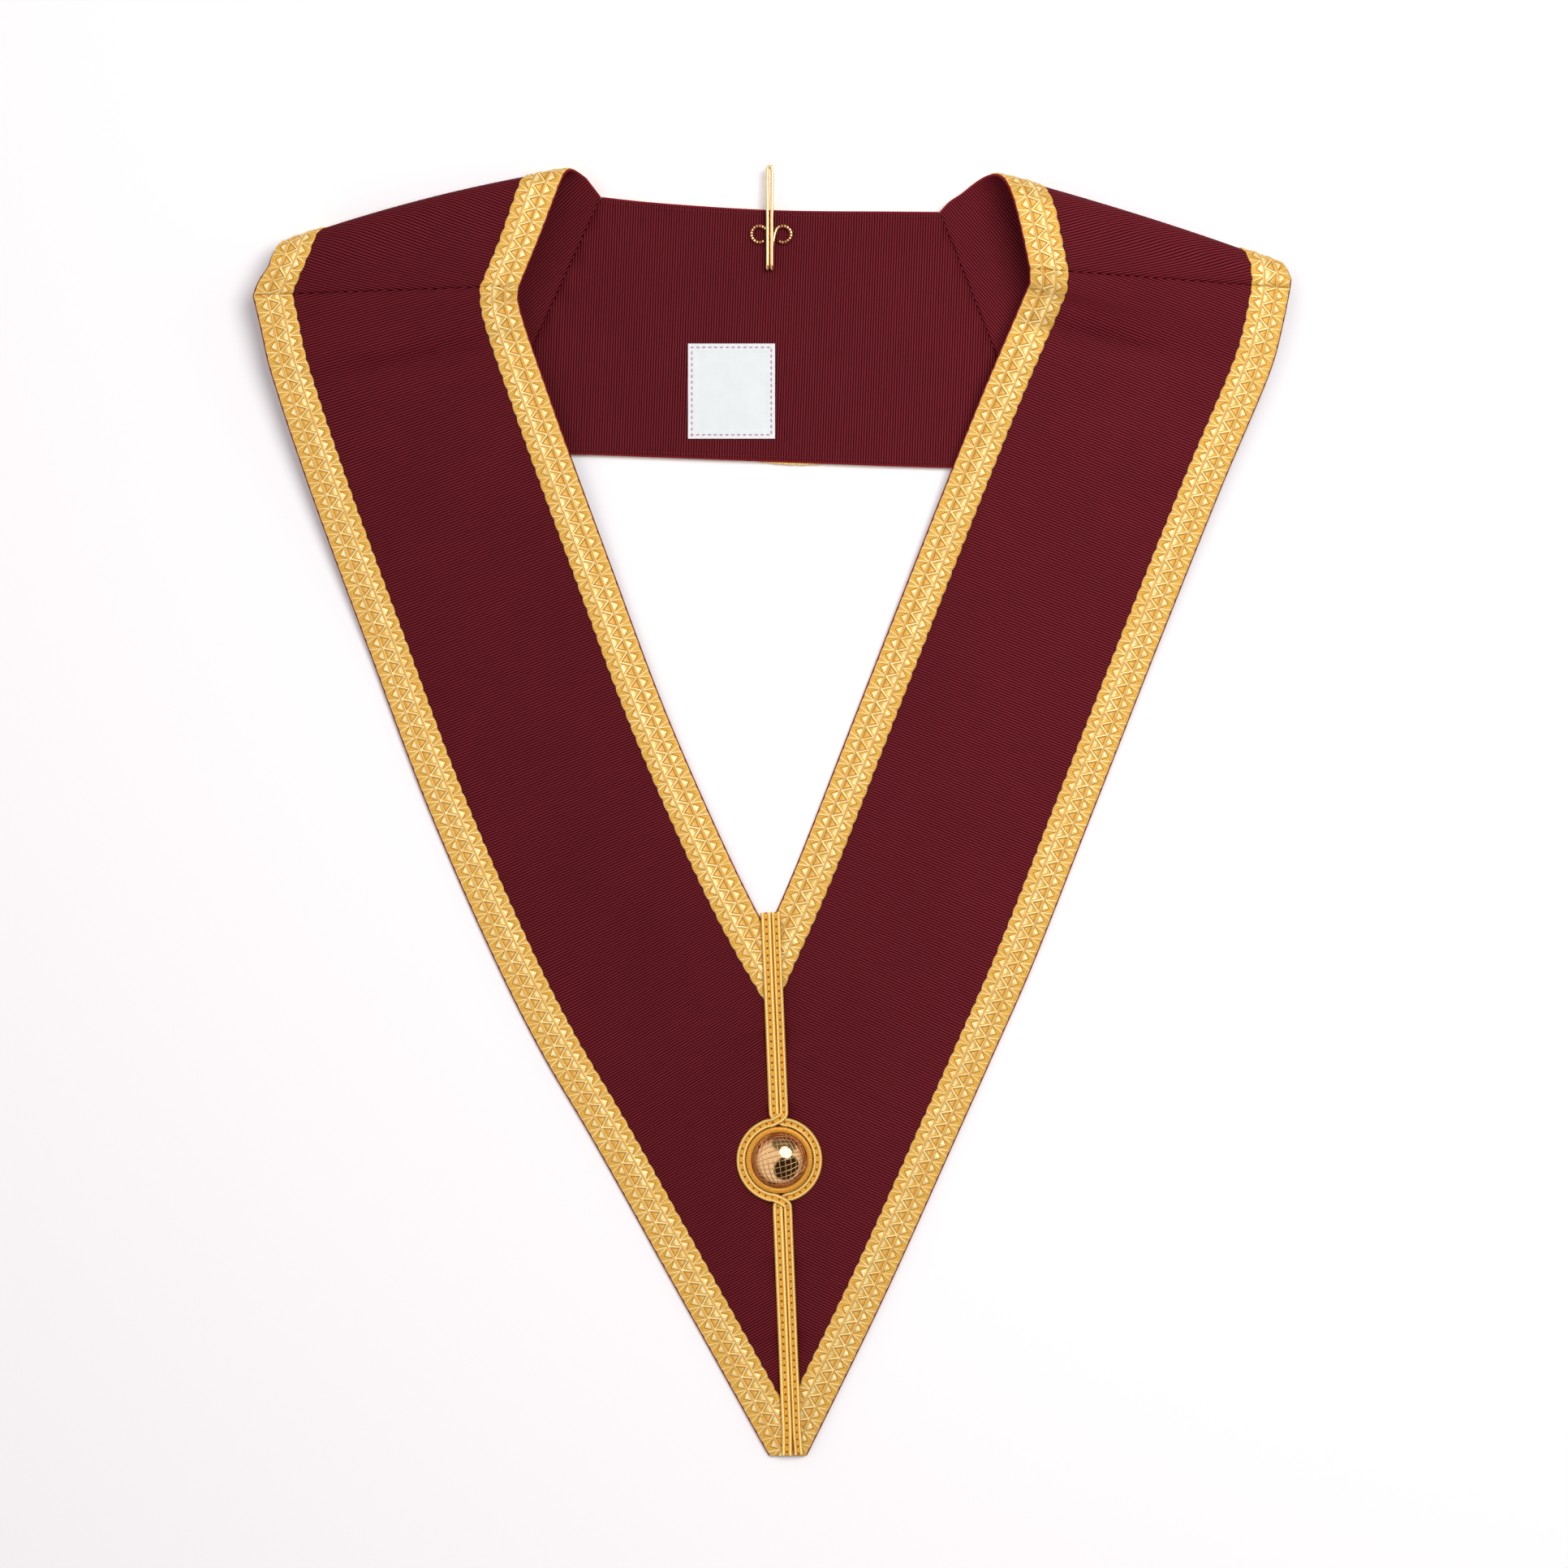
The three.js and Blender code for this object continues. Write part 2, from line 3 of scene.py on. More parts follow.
import bmesh
import bpy
import numpy as np
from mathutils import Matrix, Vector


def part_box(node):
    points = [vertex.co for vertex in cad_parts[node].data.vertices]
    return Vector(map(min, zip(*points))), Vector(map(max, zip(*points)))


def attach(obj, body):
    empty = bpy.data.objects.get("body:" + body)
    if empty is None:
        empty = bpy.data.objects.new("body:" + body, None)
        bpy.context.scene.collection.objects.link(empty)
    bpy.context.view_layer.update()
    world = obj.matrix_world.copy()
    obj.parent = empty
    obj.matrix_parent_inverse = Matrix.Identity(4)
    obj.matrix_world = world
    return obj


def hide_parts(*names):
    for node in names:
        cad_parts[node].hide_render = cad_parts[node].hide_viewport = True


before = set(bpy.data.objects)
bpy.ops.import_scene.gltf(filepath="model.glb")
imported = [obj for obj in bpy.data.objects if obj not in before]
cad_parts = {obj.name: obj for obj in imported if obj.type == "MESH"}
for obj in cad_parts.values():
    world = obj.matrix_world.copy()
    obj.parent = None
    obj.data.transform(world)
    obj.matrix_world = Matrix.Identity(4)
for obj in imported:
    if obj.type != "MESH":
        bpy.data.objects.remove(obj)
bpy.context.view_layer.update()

# Camera
# It stands straight above the collar, two metres up, and takes in a square of the floor a little wider
# than the collar is long.
VIEW_CENTRE = (0.0046, 0.0108)
VIEW_HEIGHT = 2.0
VIEW_SIDE = 0.6232


def new_object(name, data):
    made = bpy.data.objects.new(name, data)
    bpy.context.collection.objects.link(made)
    return made


camera = new_object("camera", bpy.data.cameras.new("camera"))
camera.data.sensor_width = 36.0
camera.data.lens = camera.data.sensor_width * VIEW_HEIGHT / VIEW_SIDE
camera.location = (*VIEW_CENTRE, VIEW_HEIGHT)
bpy.context.scene.camera = camera

# Ribbon
# Five lengths of dark red corded silk ribbon, four inches wide: the back panel, a folded shoulder on each
# side and two front straps mitred at the point. Cut, folded over once and sewn end to end.
MM = 0.001
COLLAR_SPAN = 410.0
COLLAR_DROP = 508.0
RIBBON_WIDTH = 102.0
CLOTH_WALL = 1.2
CLEARANCE = 0.3
LOFT = 20.0
FOLD_ROLL = 8.0
SEAM_GAP = 0.1
LACE_ROOM = 1.0
WAVE_LEVEL = 0.14
WAVE_HEIGHT = 0.07
WAVES = (9, 23, 13, 31)
RESTING_LEVEL = CLOTH_WALL / 2
OVER_LACE_LEVEL = LACE_ROOM + CLEARANCE + CLOTH_WALL / 2


def plan(x, y, *height):
    """A place in millimetres, x in shares of half the span and y in shares of the drop."""
    return np.array([x * COLLAR_SPAN / 2, y * COLLAR_DROP, *height])


# Columns: x and y of the outer edge as shares of half the span and of the drop, bearing of the row in
# degrees, width as a share of the ribbon's, heights of the outer and the neck edge as shares of the loft.
FRONT_ROWS = {
    "left": [
        (-1.0, 0.905, 2, 1.037, 0.62, 0.68),
        (-0.985, 0.879, 8, 1.01, 0.58, 0.64),
        (-0.97, 0.851, 13.5, 1.0, 0.53, 0.57),
        (-0.895, 0.757, 20, 1.0, 0.32, 0.36),
        (-0.781, 0.63, 20.8, 1.0, 0.07, 0.1),
        (-0.664, 0.504, 21.8, 1.0, 0.01, 0.02),
        (-0.525, 0.377, 25.2, 1.0, 0, 0),
        (-0.444, 0.313, 29.2, 1.0, 0, 0),
        (-0.352, 0.25, 31, 1.0, 0, 0),
        (-0.176, 0.123, 28.4, 1.0, 0, 0),
        (-0.013, 0.005, 29, 1.0, 0, 0),
        (0.033, -0.028, 29, 1.0, 0, 0),
    ],
    "right": [
        (1.0, 0.911, 3.7, 1.02, 0.56, 1.0),
        (0.984, 0.879, 10, 1.0, 0.52, 0.9),
        (0.966, 0.851, 17, 1.0, 0.47, 0.74),
        (0.87, 0.757, 21.5, 1.0, 0.29, 0.42),
        (0.745, 0.63, 21.3, 1.0, 0.07, 0.12),
        (0.623, 0.504, 21.8, 1.0, 0.01, 0.02),
        (0.499, 0.377, 22.8, 1.0, 0, 0),
        (0.429, 0.313, 24.5, 1.0, 0, 0),
        (0.359, 0.25, 24.5, 1.0, 0, 0),
        (0.217, 0.123, 25.2, 1.0, 0, 0),
        (0.074, 0.005, 26.5, 1.0, 0, 0),
        (0.033, -0.028, 26.5, 1.0, 0, 0),
    ],
}
SHOULDER_ROWS = {
    "left": [
        (-0.558, 0.785, 65.2, 1.09, 0, 0.06),
        (-0.741, 0.862, 40, 1.024, 0, 0.06),
        (-0.988, 0.916, 9.5, 1.11, 0.68, 0.68),
    ],
    "right": [
        (0.522, 0.772, 68.3, 1.072, 0, 0.08),
        (0.738, 0.848, 39.6, 1.03, 0, 0.08),
        (1.001, 0.916, 9.7, 1.065, 0.58, 1.06),
    ],
}
BACK_ROWS = [
    (-0.395, 0.783, 72.1, 1.03, 0, 0.02),
    (-0.005, 0.777, 90, 0.98, 0, 0),
    (0.36, 0.772, 104.2, 1.03, 0, 0.02),
]
# Columns: x, y, bearing, width, then for the outer and the neck end the fold's radius as a share of the
# fold roll and the heights of the two layers that it joins, and last how far its middle stands out.
RIDGES = {
    "left": (-0.942, 0.946, 14.4, 1.152, (1, 0, 0.7), (0.5, 0.06, 0.62), 0.35),
    "right": (0.983, 0.93, 17.1, 1.163, (0.65, 0, 0.56), (1.25, 0.08, 1.08), 0.18),
}
ROLL_SLANT = 0.7
ROLL_STEPS = 8
# Columns: x, y, length and width as shares of the ribbon's width, turn in degrees, depth as a share of the
# loft.
DENTS = {
    "left": [(-0.7, 0.853, 0.333, 0.055, 12, 0.17)],
    "right": [(0.62, 0.872, 0.23, 0.045, -10, 0.23)],
}
# The row of each front strap below which its rows lie square to the ribbon.
EVEN_ROWS = {"left": 2.3, "right": 3.0}
SIDES = {"left": 1, "right": -1}
SEAM_TOP = plan(-0.005, 0.426)
SEAM_END = plan(0.038, 0.0)
SEAM_LENGTH = np.linalg.norm(SEAM_END - SEAM_TOP)
SEAM_ALONG = (SEAM_END - SEAM_TOP) / SEAM_LENGTH
SEAM_ACROSS = np.array([-SEAM_ALONG[1], SEAM_ALONG[0]])
BUTTON_DISTANCE = 0.457 * SEAM_LENGTH
BASE_FLOOR = 0.8
BUTTON_LEVEL = CLOTH_WALL + CLEARANCE + BASE_FLOOR + CLEARANCE
button_low, button_high = (np.array(corner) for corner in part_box("button"))
button_plan = SEAM_TOP + SEAM_ALONG * BUTTON_DISTANCE
LAYOUT_SHIFT = np.array(
    [*((button_low + button_high)[:2] / 2 - button_plan * MM), button_low[2] - BUTTON_LEVEL * MM]
)

RIB_PITCH = 1.02
RIB_HEIGHTS = np.array([0.1, 0.04, -0.13, 0.04])
RIB_BAR = (0.152, 0.0132, 0.0210, 1)
# The colour of the grooves is the cloth's own darker red, deepened by painted shade between the bars.
RIB_GROOVE_AND_SHADE = (0.026, 0.0004, 0.0010, 1)
# How high the two layers of a shoulder part, and where a front strap's three cuts may touch it.
LAYER_PARTING = 9.0
BACK_SEAM_FROM = 400
CENTRE_SEAM_TO = 260
POINT_TO = 40
# How deep a seam draws a piece down and how far in from it, in millimetres.
CLOTH_TUCK = (0.85, 0.6)
LACE_TUCK = (0.4, 0.35)
ABOVE_FLOOR = 0.03


def unit(vectors):
    return vectors / np.linalg.norm(vectors, axis=-1, keepdims=True)


def run_along(line):
    """How far along a line each of its points lies."""
    return np.concatenate([[0], np.cumsum(np.linalg.norm(np.diff(line, axis=0), axis=1))])


def edge_row(entry, direction, level):
    """The outer end, the neck end and the bow of a row of the tables, in millimetres."""
    x, y, bearing, width, rise_outer, rise_neck = entry
    turn = math.radians(bearing)
    run = width * RIBBON_WIDTH
    outer = plan(x, y, level + rise_outer * LOFT)
    neck = np.array([outer[0] + direction * run * math.cos(turn), outer[1] + run * math.sin(turn), 0])
    neck[2] = level + rise_neck * LOFT
    return outer, neck, np.zeros(3)


def fold_rows(ridge, direction):
    """Rows round a fold, from the lower layer to the upper one."""
    x, y, bearing, width, at_outer, at_neck, bow = ridge
    turn = math.radians(bearing)
    along = np.array([direction * math.cos(turn), math.sin(turn), 0])
    inwards = np.array([direction * along[1], -direction * along[0], 0])
    outer_end = plan(x, y, 0)
    rows = []
    for step in range(ROLL_STEPS + 1):
        angle = (step / ROLL_STEPS - 0.5) * math.pi
        ends = []
        for corner, (roll, low, top) in (
            (outer_end, at_outer),
            (outer_end + along * width * RIBBON_WIDTH, at_neck),
        ):
            radius = roll * FOLD_ROLL
            lower = OVER_LACE_LEVEL + low * LOFT
            upper = RESTING_LEVEL + top * LOFT
            rise = (upper - lower) / 2
            end = corner + inwards * radius * (1 - math.cos(angle))
            end = end - along * angle * (radius + rise) * ROLL_SLANT / 2
            end[2] = (upper + lower) / 2 + rise * math.sin(angle)
            ends.append(end)
        rows.append((*ends, -inwards * bow * FOLD_ROLL))
    return rows


class Strap:
    """A length of ribbon through rows. u counts the rows and v runs from the outer to the neck edge. It is
    sampled so many times between rows, and on past its ends for the reach."""

    reach = 45.0
    samples = 90

    def __init__(self, rows, facing, dents=(), square=0.0, even=False):
        self.last = len(rows) - 1
        self.facing = facing
        self.dents = dents
        self.even_from = square if even else math.inf
        self.curves = [self.spline(np.array([row[part] for row in rows])) for part in range(3)]
        ends = np.array([0.0, self.last])
        pace = np.linalg.norm(self.curve(0, ends + 1e-3) - self.curve(0, ends - 1e-3), axis=-1) / 2e-3
        pace = np.maximum(pace, 4.0)
        ends += np.array([-self.reach, self.reach]) / pace
        self.u = np.linspace(*ends, self.samples * self.last)
        self.runs = [self.run(part, square) for part in (0, 1)]
        if not even:
            across = self.curve(1, square) - self.curve(0, square)
            middle = self.at(np.array([square - 0.01, square + 0.01]), 0.5)
            self.runs[1] = self.runs[1] + across @ unit(middle[1] - middle[0])

    @staticmethod
    def spline(points):
        """The four factors of each piece of a centripetal Catmull-Rom curve through the points."""
        padded = np.vstack([2 * points[0] - points[1], points, 2 * points[-1] - points[-2]])
        gaps = np.sqrt(np.linalg.norm(np.diff(padded, axis=0), axis=1))
        before, here, after = gaps[:-2].copy(), gaps[1:-1].copy(), gaps[2:].copy()
        here[here < 1e-4] = 1.0
        before = np.where(before < 1e-4, here, before)[:, None]
        after = np.where(after < 1e-4, here, after)[:, None]
        here = here[:, None]
        a, b, c, d = padded[:-3], padded[1:-2], padded[2:-1], padded[3:]
        start = ((b - a) / before - (c - a) / (before + here) + (c - b) / here) * here
        end = ((c - b) / here - (d - b) / (here + after) + (d - c) / after) * here
        return np.stack([b, start, 3 * (c - b) - 2 * start - end, 2 * (b - c) + start + end])

    def curve(self, part, u):
        """Points of the outer edge, the neck edge or the bow, straight on past both ends."""
        u = np.asarray(u, dtype=float)
        piece = np.clip(np.floor(u), 0, self.last - 1).astype(int)
        weight = (u - piece)[..., None]
        held = np.clip(weight, 0, 1)
        first, second, third, fourth = (factor[piece] for factor in self.curves[part])
        point = first + held * (second + held * (third + held * fourth))
        slope = second + held * (2 * third + 3 * held * fourth)
        return point + slope * (weight - held)

    def at(self, u, v):
        """Points of the middle of the cloth."""
        u, v = np.broadcast_arrays(np.asarray(u, dtype=float), np.asarray(v, dtype=float))
        share = v[..., None]
        point = self.curve(0, u) * (1 - share) + self.curve(1, u) * share
        point = point + self.curve(2, u) * (4 * share * (1 - share))
        x, y = point[..., 0], point[..., 1]
        for place_x, place_y, length, width, turn, depth in self.dents:
            angle = math.radians(turn)
            dx, dy = (axis - middle for axis, middle in zip((x, y), plan(place_x, place_y)))
            along = (dx * math.cos(angle) + dy * math.sin(angle)) / (length * RIBBON_WIDTH)
            across = (dy * math.cos(angle) - dx * math.sin(angle)) / (width * RIBBON_WIDTH)
            point[..., 2] -= depth * LOFT * np.exp(-along * along - across * across)
        first, second, third, fourth = WAVES
        waves = np.sin(x / first + y / second) + np.sin(y / third - x / fourth + 1)
        point[..., 2] += WAVE_LEVEL + WAVE_HEIGHT * waves
        return point

    def normal(self, u, v):
        """Unit vectors out of the face that bears the lace."""
        step = 0.002
        along = self.at(u + step, v) - self.at(u - step, v)
        across = self.at(u, v + step) - self.at(u, v - step)
        return self.facing * unit(np.cross(along, across))

    def offset(self, u, v, distance):
        return self.at(u, v) + self.normal(u, v) * np.asarray(distance)[..., None]

    def run(self, part, square):
        """How far along its edge each sample of u lies, from the row that the ribs are square to."""
        run = run_along(self.curve(part, self.u))
        return run - np.interp(square, self.u, run)

    def along(self, share, home=0.5):
        """How far along the flat ribbon each sample of u lies, at that share of its width. Where the rows of
        the table are square to the ribbon, the length is that of the line at home."""
        outer, neck = self.runs
        slanted = outer * (1 - share) + neck * share
        return np.where(self.u < self.even_from, slanted, outer * (1 - home) + neck * home)

    def row_places(self, columns, spacing, whole):
        """u of a grid whose rows cross the ribbon square to it, from a whole number of rows on. columns
        gives, for each column, the length along the ribbon at every sample of u. Returns the lengths of the
        rows and u."""
        columns = [np.maximum.accumulate(column) + np.arange(column.size) * 1e-9 for column in columns]
        start = min(np.interp(0, self.u, column) for column in columns)
        end = max(np.interp(self.last, self.u, column) for column in columns)
        first = math.floor(start / spacing / whole) * whole
        rows = np.arange(first, math.ceil(end / spacing) + 1) * spacing
        return rows, np.stack([np.interp(rows, column, self.u) for column in columns], axis=1)


def side_strap(side, front):
    """The front strap or the shoulder of one side."""
    direction = SIDES[side]
    rows = [edge_row(entry, direction, RESTING_LEVEL) for entry in FRONT_ROWS[side]]
    if front:
        return Strap(rows, direction, DENTS[side], square=EVEN_ROWS[side], even=True)
    back_seam, under, over = SHOULDER_ROWS[side]
    lower = [edge_row(entry, direction, OVER_LACE_LEVEL) for entry in (back_seam, under)]
    upper = [edge_row(over, direction, RESTING_LEVEL), rows[0]]
    return Strap([*lower, *fold_rows(RIDGES[side], direction), *upper], direction, square=0.6)


back_rows = [
    edge_row(SHOULDER_ROWS["left"][0], 1, OVER_LACE_LEVEL),
    *[edge_row(entry, 1, OVER_LACE_LEVEL) for entry in BACK_ROWS],
    edge_row(SHOULDER_ROWS["right"][0], -1, OVER_LACE_LEVEL),
]
straps = {"back": Strap(back_rows, -1, square=2.0)}
for length, front in (("shoulder", False), ("front", True)):
    for side in SIDES:
        straps[f"{length}_{side}"] = side_strap(side, front)


def placed(points):
    """Millimetres of the layout in metres of the frame."""
    return np.asarray(points) * MM + LAYOUT_SHIFT


def grid_points(*parts):
    """A row for each point, from the arrays of its x, y and z, or of its place across and along."""
    return np.stack(np.broadcast_arrays(*parts), axis=-1).reshape(-1, len(parts))


def grid_quads(index):
    """The four corners of each cell of a grid of vertices."""
    corners = (index[:-1, :-1], index[1:, :-1], index[1:, 1:], index[:-1, 1:])
    return np.stack(corners, axis=-1).reshape(-1, 4).tolist()


def wall_faces(rows, columns):
    """Faces of a closed wall between two grids of the same size, the second after the first."""
    index = np.arange(rows * columns).reshape(rows, columns)
    far = index + rows * columns
    faces = grid_quads(index) + [face[::-1] for face in grid_quads(far)]
    for line, flip in ((np.s_[:, 0], True), (np.s_[:, -1], False), (np.s_[0], False), (np.s_[-1], True)):
        edge, other = index[line], far[line]
        strip = np.stack([edge[:-1], edge[1:], other[1:], other[:-1]], axis=-1)
        faces += (strip[:, ::-1] if flip else strip).tolist()
    return faces


def trim(piece, cuts):
    """Cuts a closed piece along upright planes and turns its faces outwards. Each cut is a point, the
    direction that is taken away, and a test of which vertices it may touch, all in the layout."""
    mesh = bmesh.new()
    mesh.from_mesh(piece.data)
    for point, away, touched in cuts:
        plane_point = placed([*point, 0])
        places = np.array([vertex.co for vertex in mesh.verts])
        inside = touched((places - LAYOUT_SHIFT) / MM)
        near = [vertex for vertex, here in zip(mesh.verts, inside) if here]
        faces = {face for vertex in near for face in vertex.link_faces}
        edges = {edge for face in faces for edge in face.edges}
        corners = {vertex for face in faces for vertex in face.verts}
        bmesh.ops.bisect_plane(
            mesh,
            geom=[*corners, *edges, *faces],
            plane_co=plane_point,
            plane_no=(*away, 0),
            clear_outer=True,
            dist=1e-8,
        )
        open_edges = [edge for edge in mesh.edges if edge.is_boundary]
        bmesh.ops.holes_fill(mesh, edges=open_edges, sides=0)
    bmesh.ops.recalc_face_normals(mesh, faces=mesh.faces)
    mesh.to_mesh(piece.data)
    mesh.free()


def finished(piece, slot, *nodes):
    if nodes:
        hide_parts(*nodes)
    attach(piece, "root")


def new_piece(name, slot, nodes, paint, vertices, faces, flat, cuts=(), sharp=60):
    """A closed piece of the collar in the place of those nodes, its vertices in the layout. flat gives each
    vertex its place on the flat cloth, kept as a UV map."""
    mesh = bpy.data.meshes.new(name)
    mesh.from_pydata(placed(vertices).tolist(), [], faces)
    corners = np.empty(len(mesh.loops), dtype=np.int32)
    mesh.loops.foreach_get("vertex_index", corners)
    mesh.uv_layers.new(name="flat").data.foreach_set("uv", flat[corners].astype(np.float32).ravel())
    mesh.update()
    mesh.polygons.foreach_set("use_smooth", [True] * len(mesh.polygons))
    mesh.set_sharp_from_angle(angle=math.radians(sharp))
    piece = new_object(name, mesh)
    trim(piece, cuts)
    mesh.materials.append(paint)
    finished(piece, slot, *nodes)
    return piece


def seam_cut(strap, at_end):
    """The cut across a strap's first or last row: a point of it and the direction off the strap."""
    u = float(strap.last if at_end else 0)
    outer, neck = strap.curve(0, u)[:2], strap.curve(1, u)[:2]
    inner_u = u - 0.5 if at_end else u + 0.5
    line = unit(neck - outer)
    away = np.array([line[1], -line[0]])
    middle = (strap.curve(0, inner_u)[:2] + strap.curve(1, inner_u)[:2]) / 2
    if np.dot(middle - outer, away) > 0:
        away = -away
    return outer - away * SEAM_GAP / 2, away


def side_of(name):
    return name.rsplit("_", 1)[-1]


def centre_cut(side):
    """The cut of a front strap along the centre seam."""
    away = SIDES[side] * SEAM_ACROSS
    return SEAM_TOP - away * SEAM_GAP / 2, away


def strap_cuts(name):
    """The cuts that make a piece on a strap as long as the strap is. The touched parts keep a cut to its
    own end of a strap that is folded over itself."""
    strap = straps[name]
    if name == "back":
        return [(*seam_cut(strap, end), lambda p: p[:, 2] < math.inf) for end in (False, True)]
    if name.startswith("shoulder"):
        return [
            (*seam_cut(strap, False), lambda p: p[:, 2] < LAYER_PARTING),
            (*seam_cut(strap, True), lambda p: p[:, 2] > LAYER_PARTING),
        ]
    return [
        (*seam_cut(strap, False), lambda p: p[:, 1] > BACK_SEAM_FROM),
        (*centre_cut(side_of(name)), lambda p: p[:, 1] < CENTRE_SEAM_TO),
        (np.zeros(2), np.array([0.0, -1.0]), lambda p: p[:, 1] < POINT_TO),
    ]


def uncut_rows(name, rows, u, v, beyond):
    """The rows of a grid that aren't wholly cut away at the centre seam, and a little beyond it."""
    if not name.startswith("front"):
        return rows, u
    point, away = centre_cut(side_of(name))
    kept = ((straps[name].at(u, v)[..., :2] - point) @ away).min(axis=1) < beyond
    return rows[kept], u[kept]


def tucked(vertices, name, depth, reach):
    """The vertices of a piece, bent down where the strap is sewn to its neighbour."""
    vertices = vertices.copy()
    for point, away, touched in strap_cuts(name):
        inside = (point - vertices[:, :2]) @ away
        bend = np.where(touched(vertices), depth * np.exp(-np.maximum(inside, 0) / reach), 0)
        bent = bend * (np.abs(inside) < 6 * reach)
        lowered = np.maximum(vertices[:, 2] - bent, ABOVE_FLOOR)
        vertices[:, 2] = np.where(bent > 0.01, lowered, vertices[:, 2])
    return vertices


class Value:
    """A socket of a shader tree. Operators on it add Math nodes."""

    def __init__(self, paint, socket):
        self.paint, self.socket = paint, socket

    def math(self, operation, *others):
        return self.paint.node("ShaderNodeMath", {"operation": operation}, self, *others)

    def __add__(self, other):
        return self.math("ADD", other)

    def __sub__(self, other):
        return self.math("SUBTRACT", other)

    def __rsub__(self, other):
        return self.paint.node("ShaderNodeMath", {"operation": "SUBTRACT"}, other, self)

    def __mul__(self, other):
        return self.math("MULTIPLY", other)

    def __truediv__(self, other):
        return self.math("DIVIDE", other)

    def __abs__(self):
        return self.math("ABSOLUTE")

    def part(self):
        return self.math("FRACT")

    def wave(self, length=1.0):
        """1 at every whole length and -1 half way between."""
        return (self * (2 * math.pi / length)).math("COSINE")

    def most(self, other):
        return self.math("MAXIMUM", other)

    def held(self, low=0.0, high=1.0):
        """The value, but not under low or over high."""
        return self.most(low).math("MINIMUM", high)

    def smooth(self, low, high):
        """0 below low, 1 above high, with a soft step between them."""
        settings = {"interpolation_type": "SMOOTHSTEP"}
        return self.paint.node("ShaderNodeMapRange", settings, self, low, high, 0.0, 1.0)

    def below(self, high, low):
        """1 below low, 0 above high, with a soft step between them."""
        return 1.0 - self.smooth(low, high)


class Paint:
    """The nodes of a material or of the room round the collar. The constant sockets of its shader are set by
    name."""

    def __init__(self, owner, shader="Principled BSDF", **constants):
        self.owner = owner
        owner.use_nodes = True
        self.tree = owner.node_tree
        self.shader = self.tree.nodes[shader]
        for socket, value in constants.items():
            self.shader.inputs[socket.replace("_", " ")].default_value = value

    def put(self, socket, value):
        """Joins a value to a socket, or sets the socket to a constant."""
        if isinstance(value, Value):
            self.tree.links.new(value.socket, socket)
        else:
            socket.default_value = value

    def node(self, kind, settings, *inputs, output=0, **named):
        """A node with its settings, then its sockets in their order and by name."""
        made = self.tree.nodes.new(kind)
        for key, value in settings.items():
            setattr(made, key, value)
        for key, value in [*enumerate(inputs), *named.items()]:
            self.put(made.inputs[key], value)
        return Value(self, made.outputs[output])

    def mix(self, first, second, share):
        """The mix of two colours."""
        made = self.tree.nodes.new("ShaderNodeMix")
        made.data_type = "RGBA"
        sockets = [socket for socket in made.inputs if socket.enabled]
        for socket, value in zip(sockets, (share, first, second)):
            self.put(socket, value)
        return Value(self, next(socket for socket in made.outputs if socket.enabled))

    def place(self, output=3):
        """The object's own coordinates, or output 0, the direction that a ray comes from."""
        return self.node("ShaderNodeTexCoord", {}, output=output)

    def flat(self):
        """Places on the flat cloth, across and along."""
        uv = self.node("ShaderNodeUVMap", {"uv_map": "flat"})
        return self.split(uv, 0), self.split(uv, 1)

    def split(self, vector, axis):
        return self.node("ShaderNodeSeparateXYZ", {}, vector, output=axis)

    def noise(self, vector, scale, detail):
        return self.node("ShaderNodeTexNoise", {}, Vector=vector, Scale=scale, Detail=detail)

    def grain(self, x, y, detail, scale=1.0):
        """Noise over two measures."""
        return self.noise(self.node("ShaderNodeCombineXYZ", {}, x, y, 0.0), scale, detail)

    def feed(self, socket, value):
        self.put(self.shader.inputs[socket], value)

    def bump(self, height, strength, distance):
        made = self.node("ShaderNodeBump", {}, Height=height, Strength=strength, Distance=distance)
        self.feed("Normal", made)


def material(name, **constants):
    return Paint(bpy.data.materials.new(name), **constants)


def thread_paint(name):
    """Matt gold thread. Its colours are added by shaded_gold."""
    return material(name, Specular_IOR_Level=0.25, Metallic=0.25)


def shaded_gold(paint, ground, deep, bright, shade, light):
    """A ground that turns deep where it is shaded, and bright over both where it is lit."""
    dark = paint.mix((*ground, 1), (*deep, 1), shade)
    return paint.mix(dark, (*bright, 1), light)


